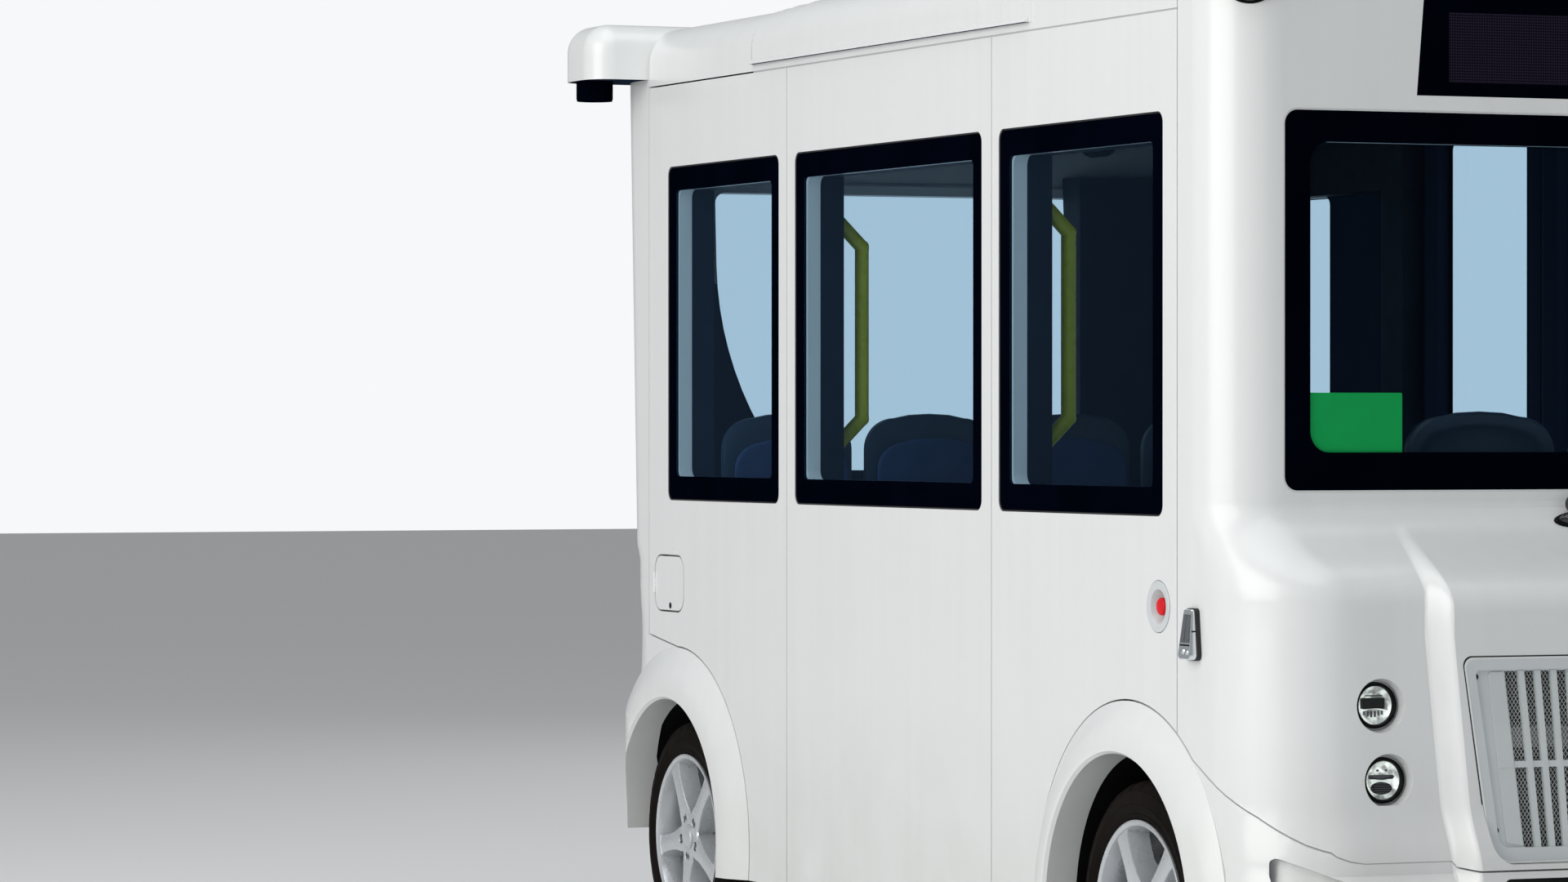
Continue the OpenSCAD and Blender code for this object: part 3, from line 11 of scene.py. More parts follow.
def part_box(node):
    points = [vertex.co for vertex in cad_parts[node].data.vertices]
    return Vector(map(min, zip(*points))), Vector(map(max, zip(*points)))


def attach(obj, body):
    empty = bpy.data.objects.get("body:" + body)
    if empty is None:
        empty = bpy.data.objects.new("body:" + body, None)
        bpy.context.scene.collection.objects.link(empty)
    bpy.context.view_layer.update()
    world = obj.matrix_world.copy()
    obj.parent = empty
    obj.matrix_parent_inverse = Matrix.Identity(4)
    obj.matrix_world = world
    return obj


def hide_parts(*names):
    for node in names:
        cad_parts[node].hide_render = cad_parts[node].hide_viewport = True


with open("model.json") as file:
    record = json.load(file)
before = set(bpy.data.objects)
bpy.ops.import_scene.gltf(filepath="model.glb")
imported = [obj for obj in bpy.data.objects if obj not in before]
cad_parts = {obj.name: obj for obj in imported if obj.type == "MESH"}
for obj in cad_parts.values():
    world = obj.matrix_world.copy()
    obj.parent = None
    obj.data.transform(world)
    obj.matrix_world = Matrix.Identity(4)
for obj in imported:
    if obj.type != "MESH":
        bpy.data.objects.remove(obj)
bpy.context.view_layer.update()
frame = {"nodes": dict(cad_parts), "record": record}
ROOT = "shuttle"
BODY_OF = {node: body for body, nodes in frame["record"]["behaviour"]["bodies"].items() for node in nodes}

# ---------------- camera
CAMERA_AT = Vector((12.8, -6.575, 1.42))
CAMERA_AZIMUTH = 67.5      # degrees from -Y towards +X
CAMERA_DROP = 0.164        # degrees below level
LENS_MM = 131.25


SENSOR_MM = 36.0


def add_object(name, data):
    obj = bpy.data.objects.new(name, data)
    bpy.context.scene.collection.objects.link(obj)
    return obj


def make_camera():
    data = bpy.data.cameras.new("camera")
    data.lens = LENS_MM
    data.sensor_width = SENSOR_MM
    data.clip_end = 200.0
    cam = add_object("camera", data)
    cam.location = CAMERA_AT
    cam.rotation_euler = (math.radians(90 - CAMERA_DROP), 0, math.radians(CAMERA_AZIMUTH))
    bpy.context.scene.camera = cam


make_camera()

# ---------------- places from the frame
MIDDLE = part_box("panel_right_middle")
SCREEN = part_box("windscreen")
HALF_W = -MIDDLE[0][1]
PANE_Z = (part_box("side_windows")[0][2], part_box("side_windows")[1][2])
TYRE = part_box("tyre_front_right")
FRONT_AXLE_X = (TYRE[0][0] + TYRE[1][0]) / 2
TYRE_R = (TYRE[1][2] - TYRE[0][2]) / 2
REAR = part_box("tyre_rear_right")
REAR_AXLE_X = (REAR[0][0] + REAR[1][0]) / 2


# ---------------- materials
INNER = (0.016, 0.024, 0.045)      # the skins' colour towards the cabin
# skins that look inwards along an axis: the axis, and how far out on it they lie, up to and from
SKIN_ZONES = (("Y", HALF_W - 0.03, 0.5), ("X", 1.93, 1.5), ("Z", 2.485, 2.2))
# edges of the left openings, and of the windscreen's opening behind the glass: corners of the zone, and the
# axis that the edges run along
EDGE_ZONES = (((-1.15, 0.8, 0.9), (1.15, HALF_W - 0.004, 2.2), "Y"),
              ((1.5, -0.88, 1.28), (SCREEN[1][0] - 0.002, 0.88, 2.2), "X"))
HOUSE_LIP = 0.024                  # width of the pale strip of a wheel house behind the arch
DOT_PITCH = 0.0062                 # of the sign's dot matrix
PLATE_DEPTH = 0.0155               # of the plate behind the grille's slats
CARRIER_Z = (0.7185, 0.7635)       # heights of the grey carrier on that plate


def new_material(name):
    mat = bpy.data.materials.new(name)
    mat.use_nodes = True
    return mat, mat.node_tree, mat.node_tree.nodes["Principled BSDF"]


def feed(tree, socket, value):
    """Sets a socket to a number or a colour, or links another socket to it."""
    if isinstance(value, (int, float)):
        socket.default_value = value
    elif isinstance(value, tuple):
        socket.default_value = (*value, 1)
    else:
        tree.links.new(value, socket)


def dress(tree, bsdf, **values):
    """Feeds the shader's inputs; an underscore in a name stands for a space."""
    for key, value in values.items():
        feed(tree, bsdf.inputs[key.replace("_", " ")], value)


def noise(tree, scale, detail=4.0, stretch=(1, 1, 1)):
    coords = tree.nodes.new("ShaderNodeTexCoord")
    mapping = tree.nodes.new("ShaderNodeMapping")
    mapping.inputs["Scale"].default_value = stretch
    tex = tree.nodes.new("ShaderNodeTexNoise")
    tex.inputs["Scale"].default_value = scale
    tex.inputs["Detail"].default_value = detail
    tree.links.new(coords.outputs["Object"], mapping.inputs["Vector"])
    tree.links.new(mapping.outputs["Vector"], tex.inputs["Vector"])
    return tex.outputs["Fac"]


def ramp(tree, value, stops):
    """Colours along a value; a number stands for a grey."""
    node = tree.nodes.new("ShaderNodeValToRGB")
    elements = node.color_ramp.elements
    while len(elements) < len(stops):
        elements.new(0.5)
    for element, (place, colour) in zip(elements, stops):
        element.position = place
        element.color = (*colour, 1) if isinstance(colour, tuple) else (colour, colour, colour, 1)
    tree.links.new(value, node.inputs["Fac"])
    return node.outputs["Color"]


def maths(tree, operation, *values):
    """One maths node; the values are sockets or numbers."""
    node = tree.nodes.new("ShaderNodeMath")
    node.operation = operation
    for socket, value in zip(node.inputs, values):
        feed(tree, socket, value)
    return node.outputs[0]


def product(tree, first, *rest):
    for value in rest:
        first = maths(tree, "MULTIPLY", first, value)
    return first


def within(tree, value, low, high):
    """1 where low < value < high, 0 elsewhere."""
    return product(tree, maths(tree, "GREATER_THAN", value, low), maths(tree, "LESS_THAN", value, high))


def parts(tree, what="Position"):
    """X, Y and Z of the shaded place, or of the way the face looks."""
    geo = tree.nodes.new("ShaderNodeNewGeometry")
    node = tree.nodes.new("ShaderNodeSeparateXYZ")
    tree.links.new(geo.outputs[what], node.inputs[0])
    return node.outputs


def blend(tree, factor, a, b):
    """Mix of two colours."""
    node = tree.nodes.new("ShaderNodeMix")
    node.data_type = "RGBA"
    for key, value in (("Factor", factor), ("A", a), ("B", b)):
        feed(tree, node.inputs[key], value)
    return node.outputs["Result"]


def bump(tree, bsdf, height, strength, distance=0.001):
    node = tree.nodes.new("ShaderNodeBump")
    node.inputs["Strength"].default_value = strength
    node.inputs["Distance"].default_value = distance
    tree.links.new(height, node.inputs["Height"])
    tree.links.new(node.outputs["Normal"], bsdf.inputs["Normal"])


def inner_face(tree):
    """1 on the skins' faces that look into the cabin, 0 elsewhere."""
    place, facing = parts(tree), parts(tree, "True Normal")
    hits = []
    for axis, inside, beyond in SKIN_ZONES:
        inwards = product(tree, maths(tree, "SIGN", place[axis]), facing[axis], -1)
        near = within(tree, maths(tree, "ABSOLUTE", place[axis]), beyond, inside)
        if axis == "X":
            across = maths(tree, "ABSOLUTE", place["Y"])
            near = product(tree, near, maths(tree, "LESS_THAN", across, HALF_W - 0.08))
        hits.append(product(tree, maths(tree, "GREATER_THAN", inwards, 0.6), near))
    for lows, highs, axis in EDGE_ZONES:
        along = maths(tree, "LESS_THAN", maths(tree, "ABSOLUTE", facing[axis]), 0.4)
        zone = [within(tree, place[name], low, high) for name, low, high in zip("XYZ", lows, highs)]
        hits.append(product(tree, along, *zone))
    found = hits[0]
    for hit in hits[1:]:
        found = maths(tree, "MAXIMUM", found, hit)
    return found


def paint(name, colour, dusty, rough, coat):
    """Gloss paint with faint rain streaks and road dust near the ground."""
    mat, tree, bsdf = new_material(name)
    streak = ramp(tree, noise(tree, 3.2, 1.0, (7, 7, 0.22)), [(0.35, 0), (0.8, 1)])
    low = tree.nodes.new("ShaderNodeMapRange")
    for key, value in (("From Min", 0.25), ("From Max", 0.75), ("To Min", 0.45), ("To Max", 0.0),
                       ("Value", parts(tree)["Z"])):
        feed(tree, low.inputs[key], value)
    dirt = product(tree, low.outputs["Result"], noise(tree, 5.0, 6.0))
    faint = maths(tree, "MULTIPLY_ADD", streak, 0.045, dirt)
    hidden = inner_face(tree)
    shown = maths(tree, "SUBTRACT", 1, hidden)
    gloss = ramp(tree, noise(tree, 4.0, 1.0), [(0.3, rough - 0.03), (0.8, rough + 0.06)])
    dress(tree, bsdf, Coat_Weight=product(tree, shown, coat), Specular_IOR_Level=product(tree, shown, 0.5),
          Base_Color=blend(tree, hidden, blend(tree, faint, colour, dusty), INNER), Roughness=gloss,
          Coat_Roughness=0.2)
    return mat


def plain(name, colour, rough, metal=0.0, spread=0.25, grain=90.0, depth=0.15, coat=0.0, shine=0.5):
    """Moulded, cast or painted surface: colour and gloss vary, with a fine grain."""
    mat, tree, bsdf = new_material(name)
    lo = tuple(c * (1 - spread) for c in colour)
    hi = tuple(min(1, c * (1 + spread)) for c in colour)
    gloss = [(0.3, max(0.02, rough - 0.06)), (0.75, rough + 0.08)]
    dress(tree, bsdf, Base_Color=ramp(tree, noise(tree, 6.0, 6.0), [(0.3, lo), (0.7, hi)]),
          Roughness=ramp(tree, noise(tree, 25.0, 4.0), gloss), Metallic=metal, Specular_IOR_Level=shine,
          Coat_Weight=coat)
    bump(tree, bsdf, noise(tree, grain, 3.0), depth, 0.0006)
    return mat


def glass(name, tint, edge, mirror=(0.9, 0.93, 0.95)):
    """Thin tinted glazing: a clear tinted part and a mirror part by angle."""
    mat, tree, bsdf = new_material(name)
    tree.nodes.remove(bsdf)
    clear = tree.nodes.new("ShaderNodeBsdfTransparent")
    shine = tree.nodes.new("ShaderNodeBsdfGlossy")
    fresnel = tree.nodes.new("ShaderNodeFresnel")
    geo = tree.nodes.new("ShaderNodeNewGeometry")
    mix = tree.nodes.new("ShaderNodeMixShader")
    entering = product(tree, fresnel.outputs[0], maths(tree, "SUBTRACT", 1, geo.outputs["Backfacing"]))
    for socket, value in ((clear.inputs["Color"], tint), (shine.inputs["Color"], mirror),
                          (shine.inputs["Roughness"], 0.0), (fresnel.inputs["IOR"], edge),
                          (mix.inputs[0], entering), (mix.inputs[1], clear.outputs[0]),
                          (mix.inputs[2], shine.outputs[0]),
                          (tree.nodes["Material Output"].inputs["Surface"], mix.outputs[0])):
        feed(tree, socket, value)
    return mat


WHITE = paint("white_paint", (0.8, 0.815, 0.81), (0.42, 0.4, 0.36), rough=0.32, coat=0.6)
DARK = plain("black_frame_paint", (0.02, 0.02, 0.022), 0.45)
METAL = plain("grey_metal", (0.16, 0.16, 0.17), 0.45, metal=0.6)
RIM = plain("rim_lacquer", (0.6, 0.62, 0.64), 0.3, metal=0.6, spread=0.04, coat=0.4, depth=0.005, grain=40)
TYRE_MAT = plain("tyre_rubber", (0.008, 0.006, 0.0054), 0.72, spread=0.35, grain=220, depth=0.3, shine=0.05)
PANE = glass("window_glass", (0.8, 0.88, 0.93), edge=1.22, mirror=(0.2, 0.38, 0.66))
BLACK_GLOSS = plain("black_gloss", (0.0006, 0.0013, 0.0042), 0.12, spread=0.2, depth=0.02, shine=0.0)
LINING = plain("dark_lining", (0.006, 0.01, 0.021), 0.55, shine=0.2)
FLOOR_COVER = plain("floor_cover", (0.12, 0.125, 0.13), 0.7, grain=320, depth=0.4)
SHELL = plain("seat_shell_plastic", (0.022, 0.038, 0.062), 0.42)
FABRIC = plain("seat_fabric", (0.02, 0.045, 0.12), 0.85, grain=500, depth=0.5)
YELLOW = plain("handle_yellow", (0.93, 0.95, 0.01), 0.3, spread=0.06, coat=0.3, depth=0.05)
GRILLE = plain("grille_plastic", (0.62, 0.66, 0.66), 0.38, spread=0.05, depth=0.05)
DOME_GLASS = plain("dome_glass", (0.004, 0.004, 0.006), 0.06, spread=0.2, depth=0.02, coat=0.6)
CHROME = plain("lamp_chrome", (0.8, 0.82, 0.84), 0.1, metal=1.0, spread=0.05, depth=0.03)
REFLECTOR = plain("lamp_reflector", (0.86, 0.88, 0.86), 0.22, metal=0.25, spread=0.04, depth=0.03)
# grey sealant of the roof's joints; also the header's painted highlight strip
SEALANT_AND_HIGHLIGHT = plain("joint_sealant_and_painted_highlight", (0.46, 0.47, 0.47), 0.6, spread=0.08, depth=0.05)
LAMP_RED = plain("lamp_red", (0.35, 0.01, 0.01), 0.15, spread=0.1, coat=0.6)
BUTTON_RED = plain("button_red", (0.72, 0.008, 0.015), 0.35, spread=0.08, shine=0.2)
BATTERY = plain("battery_case", (0.09, 0.095, 0.1), 0.5)
RUBBER = plain("black_rubber", (0.012, 0.012, 0.013), 0.6)
# near-black parts; outside the grille's rim it is a painted shadow of the gap
VOID = plain("dark_parts_and_gap_shadow", (0.004, 0.004, 0.005), 0.7)
# pale trim; on the windscreen's lip it is a painted highlight of the body's edge
WHITE_TRIM_AND_HIGHLIGHT = plain("white_trim_and_painted_highlight", (0.74, 0.76, 0.76), 0.25, spread=0.04, coat=0.4, depth=0.04)
MESH_METAL = plain("mesh_metal", (0.66, 0.7, 0.69), 0.4, spread=0.1, depth=0.05)
DARK_METAL = plain("dark_metal", (0.05, 0.052, 0.055), 0.45, metal=0.7)
BEZEL = plain("lamp_bezel", (0.003, 0.003, 0.0035), 0.3, shine=0.08)
LAMP_GREY = plain("lamp_grey", (0.14, 0.15, 0.16), 0.3, metal=0.5)
LAMP_AMBER = plain("lamp_amber", (0.55, 0.17, 0.01), 0.15, spread=0.1, coat=0.6)
LAMP_COVER = glass("lamp_cover", (0.97, 0.98, 0.98), edge=1.2)
DISH = plain("button_dish", (0.62, 0.65, 0.66), 0.35, spread=0.05, coat=0.3, depth=0.05)
DISC = plain("brake_disc", (0.2, 0.195, 0.19), 0.4, metal=0.9, spread=0.3, grain=300)
CEILING = plain("ceiling_panel", (0.04, 0.05, 0.068), 0.6, spread=0.08)
CARD = plain("green_card", (0.0, 0.62, 0.095), 0.7, spread=0.04, depth=0.05)
PLINTH = plain("plinth_panel", (0.05, 0.055, 0.065), 0.5)
WIPER_BLACK = plain("wiper_black", (0.018, 0.018, 0.019), 0.38, spread=0.15)


def paint_dish_reflections(mat):
    """Painted reflection: the dish glows in noise patches that stand in for bright reflections of the sky, dark
    between.
    """
    tree = mat.node_tree
    painted_reflections = ramp(tree, noise(tree, 52.0, 2.0), [(0.4, 0.02), (0.6, (0.62, 0.68, 0.64))])
    dress(tree, tree.nodes["Principled BSDF"], Emission_Color=painted_reflections, Emission_Strength=0.85)


paint_dish_reflections(REFLECTOR)


def matrix_material():
    """Unlit dot matrix: small square lamps in rows on a black board."""
    mat, tree, bsdf = new_material("dot_matrix")
    place = parts(tree)
    cells = []
    for axis in "YZ":
        turn = maths(tree, "FRACT", product(tree, place[axis], 1 / DOT_PITCH))
        away = maths(tree, "ABSOLUTE", maths(tree, "SUBTRACT", turn, 0.5))
        cells.append(maths(tree, "LESS_THAN", away, 0.3))
    colour = ramp(tree, product(tree, *cells), [(0.0, (0.003, 0.0025, 0.006)), (1.0, (0.024, 0.016, 0.04))])
    gloss = ramp(tree, noise(tree, 20.0), [(0.3, 0.35), (0.8, 0.5)])
    dress(tree, bsdf, Base_Color=colour, Roughness=gloss, Specular_IOR_Level=0.05)
    return mat


def wheel_house_shade_material():
    """Grey painted lip behind the arch; further in, the lining is painted near-black for the shade deep in the
    wheel house; road dirt low down.
    """
    mat, tree, bsdf = new_material("wheel_house_lining_and_painted_shade")
    place = parts(tree)
    outer = maths(tree, "GREATER_THAN", maths(tree, "ABSOLUTE", place["Y"]), HALF_W - HOUSE_LIP)
    dirt = product(tree, maths(tree, "LESS_THAN", place["Z"], 0.42), noise(tree, 18.0, 6.0))
    pale = ramp(tree, dirt, [(0.3, (0.36, 0.36, 0.34)), (0.62, (0.1, 0.095, 0.08))])
    # painted shade: near-black deeper in the wheel house, where shade falls
    dark = ramp(tree, noise(tree, 9.0), [(0.3, 0.002), (0.8, 0.005)])
    dress(tree, bsdf, Base_Color=blend(tree, outer, dark, pale), Roughness=0.7, Specular_IOR_Level=0.1)
    bump(tree, bsdf, noise(tree, 60.0, 3.0), 0.2)
    return mat


def grille_material():
    """Pale moulding; the plate behind the slats is black, with a grey carrier above the cross bar."""
    mat, tree, bsdf = new_material("grille_moulding")
    place = parts(tree)
    behind = maths(tree, "LESS_THAN", place["X"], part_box("grille")[1][0] - PLATE_DEPTH)
    pale = ramp(tree, noise(tree, 6.0, 6.0), [(0.3, (0.6, 0.645, 0.65)), (0.7, (0.66, 0.7, 0.7))])
    plate = ramp(tree, within(tree, place["Z"], *CARRIER_Z), [(0.0, 0.004), (1.0, (0.15, 0.155, 0.16))])
    gloss = ramp(tree, noise(tree, 25.0, 4.0), [(0.3, 0.32), (0.75, 0.46)])
    dress(tree, bsdf, Base_Color=blend(tree, behind, pale, plate), Roughness=gloss)
    bump(tree, bsdf, noise(tree, 120.0, 3.0), 0.05, 0.0004)
    return mat


MATRIX = matrix_material()
HOUSE = wheel_house_shade_material()
GRILLE_MAT = grille_material()

NODE_MATERIALS = {
    "chassis_frame": DARK, "battery_block": BATTERY, "floor_pan": FLOOR_COVER, "wheel_houses": HOUSE,
    "cabin_frame": LINING, "laser_scanners": BLACK_GLOSS, "windscreen": PANE, "side_windows": PANE,
    "sign_panels": BLACK_GLOSS, "grille": GRILLE_MAT, "headlamps": CHROME, "tail_lamps": LAMP_RED,
    "side_markers": CHROME, "stop_buttons": BUTTON_RED, "charge_socket": LINING, "wiper_arm": DARK,
    "seat_shells": SHELL, "seat_pads": FABRIC, "grab_handles": YELLOW, "front_axle": METAL,
    "rear_axle": METAL, "knuckle_right": METAL, "knuckle_left": METAL,
    "door_glass_front": PANE, "door_glass_rear": PANE,
}


# ---------------- shading of the CAD solids
def smooth_group(angle):
    """Geometry nodes: smooth shading with edges sharper than the angle kept crisp."""
    group = bpy.data.node_groups.new("smooth_by_angle_%d" % angle, "GeometryNodeTree")
    group.interface.new_socket("Geometry", in_out="INPUT", socket_type="NodeSocketGeometry")
    group.interface.new_socket("Geometry", in_out="OUTPUT", socket_type="NodeSocketGeometry")
    nodes, links = group.nodes, group.links
    start, end = nodes.new("NodeGroupInput"), nodes.new("NodeGroupOutput")
    weld = nodes.new("GeometryNodeMergeByDistance")
    weld.inputs["Distance"].default_value = 0.00002
    faces = nodes.new("GeometryNodeSetShadeSmooth")
    edges = nodes.new("GeometryNodeSetShadeSmooth")
    edges.domain = "EDGE"
    edges.inputs["Shade Smooth"].default_value = False
    edge_angle = nodes.new("GeometryNodeInputMeshEdgeAngle")
    compare = nodes.new("FunctionNodeCompare")
    compare.operation = "GREATER_THAN"
    compare.inputs[1].default_value = math.radians(angle)
    links.new(start.outputs[0], weld.inputs["Geometry"])
    links.new(weld.outputs[0], faces.inputs["Geometry"])
    links.new(faces.outputs[0], edges.inputs["Geometry"])
    links.new(edge_angle.outputs["Unsigned Angle"], compare.inputs[0])
    links.new(compare.outputs[0], edges.inputs["Selection"])
    links.new(edges.outputs[0], end.inputs[0])
    return group


CREASE = 28      # degrees; sharper edges stay crisp
SMOOTH = smooth_group(CREASE)


def smooth(obj):
    mod = obj.modifiers.new("smooth", "NODES")
    mod.node_group = SMOOTH
    weighted = obj.modifiers.new("weighted", "WEIGHTED_NORMAL")
    weighted.mode = "FACE_AREA"
    weighted.keep_sharp = True
    weighted.weight = 80


def set_material(obj, mat):
    if not obj.data.materials:
        obj.data.materials.append(mat)
    for slot in obj.material_slots:
        slot.material = mat


for name, obj in frame["nodes"].items():
    mat = NODE_MATERIALS.get(name, WHITE)
    if name.startswith("tyre"):
        mat = TYRE_MAT
    if name.startswith("rim"):
        mat = RIM
    set_material(obj, mat)
    smooth(obj)


# ---------------- mesh building
WELD = 0.00001      # points closer than this are one


class Shape:
    """Collects faces, each with a material number, and makes one object of them."""

    def __init__(self):
        self.verts, self.faces, self.mats = [], [], []

    def add(self, verts, faces, mat=0):
        base = len(self.verts)
        self.verts += [tuple(v) for v in verts]
        self.faces += [tuple(base + i for i in f) for f in faces]
        self.mats += [mat] * len(faces)

    def box(self, a, b, mat=0):
        """Box between two opposite corners."""
        lo, hi = list(map(min, a, b)), list(map(max, a, b))
        v = [(x, y, z) for z in (lo[2], hi[2]) for y in (lo[1], hi[1]) for x in (lo[0], hi[0])]
        self.add(v, [(0, 2, 3, 1), (4, 5, 7, 6), (0, 1, 5, 4), (2, 6, 7, 3), (0, 4, 6, 2), (1, 3, 7, 5)], mat)

    def loft(self, rings, mat=0, closed=True, caps=(True, True)):
        """Rings with the same number of points, joined one to the next."""
        n = len(rings[0])
        verts = [p for ring in rings for p in ring]
        faces = []
        for k in range(len(rings) - 1):
            for i in range(n if closed else n - 1):
                j = (i + 1) % n
                faces.append((k * n + i, k * n + j, (k + 1) * n + j, (k + 1) * n + i))
        if caps[0]:
            faces.append(tuple(range(n - 1, -1, -1)))
        if caps[1]:
            faces.append(tuple((len(rings) - 1) * n + i for i in range(n)))
        self.add(verts, faces, mat)

    def band(self, rings, mat=0):
        """A closed loft without ends."""
        self.loft(rings, mat, True, (False, False))

    def lathe(self, profile, place, mat=0, n=48):
        """profile is (radius, height) pairs, turned about the local Z of place."""
        turns = [2 * math.pi * i / n for i in range(n)]
        self.band([[place @ Vector((r * math.cos(a), r * math.sin(a), h)) for a in turns]
                   for r, h in profile], mat)

    def mesh(self, name, materials=()):
        """The faces as a clean mesh, seen from outside."""
        mesh = bpy.data.meshes.new(name)
        mesh.from_pydata(self.verts, [], self.faces)
        for mat in materials:
            mesh.materials.append(mat)
        mesh.polygons.foreach_set("material_index", self.mats)
        bm = bmesh.new()
        bm.from_mesh(mesh)
        bmesh.ops.remove_doubles(bm, verts=bm.verts, dist=WELD)
        bmesh.ops.recalc_face_normals(bm, faces=bm.faces)
        bm.to_mesh(mesh)
        bm.free()
        return mesh

    def make(self, name, materials, replaced=(), body=ROOT, slot=None, bevel=0.0, shade=True):
        obj = add_object(name, self.mesh(name, materials))
        if bevel:
            mod = obj.modifiers.new("bevel", "BEVEL")
            mod.width = bevel
            mod.segments = 2
            mod.limit_method = "ANGLE"
            mod.angle_limit = math.radians(35)
        if shade:
            smooth(obj)
        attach(obj, body)
        if replaced:
            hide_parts(*replaced)
        return obj


def mm(*pairs):
    """Pairs of millimetres as metres."""
    return [(a / 1000, b / 1000) for a, b in pairs]


def turned(point, degrees, axis="Y"):
    """Matrix of a place that is turned about an axis."""
    return Matrix.Translation(point) @ Matrix.Rotation(math.radians(degrees), 4, axis)


def rounded(x0, z0, x1, z1, r, n=6):
    """Outline of a rectangle with round corners."""
    points = []
    for cx, cz, a0 in ((x1 - r, z0 + r, -90), (x1 - r, z1 - r, 0), (x0 + r, z1 - r, 90), (x0 + r, z0 + r, 180)):
        for i in range(n + 1):
            a = math.radians(a0 + 90 * i / n)
            points.append((cx + r * math.cos(a), cz + r * math.sin(a)))
    return points


# ---------------- glazing with its black border
GLASS_IN, GLASS_T = 0.003, 0.006       # how far the glass lies behind the skin, and its thickness


def glazing(shape, outer, inner, world):
    """A pane whose border is black; world maps (across, up, depth) to a place in the frame."""
    n = len(outer)
    for depth in (0.0, GLASS_T):
        a = [world(u, v, depth) for u, v in outer]
        b = [world(u, v, depth) for u, v in inner]
        shape.add(a + b, [(i, (i + 1) % n, n + (i + 1) % n, n + i) for i in range(n)], 0)
        shape.add(b, [tuple(range(n))], 1)
    shape.band([[world(u, v, depth) for u, v in outer] for depth in (0.0, GLASS_T)])


DOOR_REAR_X, DOOR_FRONT_X = MIDDLE[0][0] - 0.002, MIDDLE[1][0] + 0.002
FRONT_SEAM_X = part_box("panel_right_front")[1][0] + 0.002
REAR_SEAM_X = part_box("panel_right_rear")[0][0] - 0.002
WINDOW_REAR = (REAR_SEAM_X + 0.141, DOOR_REAR_X - 0.055)
WINDOW_REAR_LEFT = (REAR_SEAM_X + 0.141, REAR_AXLE_X + 0.2945)
WINDOW_MIDDLE = (DOOR_REAR_X + 0.054, DOOR_FRONT_X - 0.057)
WINDOW_FRONT = (DOOR_FRONT_X + 0.041, FRONT_SEAM_X - 0.073)
SIDE_WINDOWS = ((-1, WINDOW_REAR), (-1, WINDOW_MIDDLE), (-1, WINDOW_FRONT),
                (1, WINDOW_REAR_LEFT), (1, WINDOW_FRONT))
FRIT_SIDE, FRIT_END = 0.055, 0.064     # the black border's widths


def side_outline(w, border_x=0.0, border_z=0.0, r=0.025):
    return rounded(w[0] + border_x, PANE_Z[0] + border_z, w[1] - border_x, PANE_Z[1] - border_z, r)


def on_side(side):
    return lambda u, v, d: (u, side * (HALF_W - GLASS_IN - d), v)


windows = Shape()
for side, w in SIDE_WINDOWS:
    glazing(windows, side_outline(w), side_outline(w, FRIT_SIDE, FRIT_END, 0.014), on_side(side))

# the rear window's sides curve in towards its lower edge
REAR_HALF_W, REAR_H, REAR_STRAIGHT, REAR_CURVE_R, REAR_BORDER = 0.675, 0.773, 0.205, 0.9, 0.041
REAR_LEAN = math.atan(0.055 / 1.3)
REAR_LOW_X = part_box("side_windows")[0][0] + 0.0315
REAR_LOW_Z = 1.29


def rear_outline(grow):
    """Half widths from the lower edge up, then mirrored: the clear opening grown by grow."""
    low, mid = REAR_H - REAR_STRAIGHT, REAR_CURVE_R - REAR_HALF_W
    r = REAR_CURVE_R + grow
    half = []
    for i in range(15):
        v = -grow + (low + grow) * i / 14
        half.append([math.sqrt(max(0.0, r * r - (low - v) ** 2)) - mid, v])
    top, side = REAR_H + grow, REAR_HALF_W + grow
    half[0][0] -= 0.028
    half.insert(1, [half[0][0] + 0.018, half[0][1] + 0.006])
    half += [[side, top - 0.03], [side - 0.008, top - 0.009], [side - 0.03, top]]
    return half + [[-u, v] for u, v in reversed(half)]


def on_rear(u, v, d):
    """A place on the leaning rear face: across, up, and in from the skin."""
    s, c = math.sin(REAR_LEAN), math.cos(REAR_LEAN)
    return (REAR_LOW_X + (GLASS_IN + d) * c - v * s, u, REAR_LOW_Z + (GLASS_IN + d) * s + v * c)


glazing(windows, rear_outline(REAR_BORDER), rear_outline(0.0), on_rear)
windows.make("window_panes", [BLACK_GLOSS, PANE], ["side_windows"], slot="glass_clear")

SCREEN_X = SCREEN[1][0] + GLASS_IN
SCREEN_BORDER, SCREEN_SILL, SCREEN_TOP = 0.066, 0.086, 0.072
screen_outline = rounded(SCREEN[0][1], SCREEN[0][2], SCREEN[1][1], SCREEN[1][2], 0.034)
screen_clear = rounded(SCREEN[0][1] + SCREEN_BORDER, SCREEN[0][2] + SCREEN_SILL,
                       SCREEN[1][1] - SCREEN_BORDER, SCREEN[1][2] - SCREEN_TOP, 0.046)


def on_screen(u, v, d):
    return (SCREEN[1][0] - d, u, v)


screen = Shape()
glazing(screen, screen_outline, screen_clear, on_screen)
screen.make("windscreen_pane", [BLACK_GLOSS, PANE], ["windscreen"], slot="glass_clear")

# lips round the glass, between it and the white panel; their section is (outwards, depth) pairs
LIP = ((0.0008, 0.0016), (-0.0022, 0.0012), (-0.0032, 0.0035), (0.0008, 0.0035))
seals = Shape()


def seal(outline, world, mat=0):
    rings = []
    for out, depth in LIP:
        ring = []
        for i, (u, v) in enumerate(outline):
            a, b = outline[i - 1], outline[(i + 1) % len(outline)]
            t = Vector((b[0] - a[0], b[1] - a[1])).normalized()
            ring.append(world(u + t.y * out, v - t.x * out, depth - GLASS_IN))
        rings.append(ring)
    seals.band(rings + rings[:1], mat)


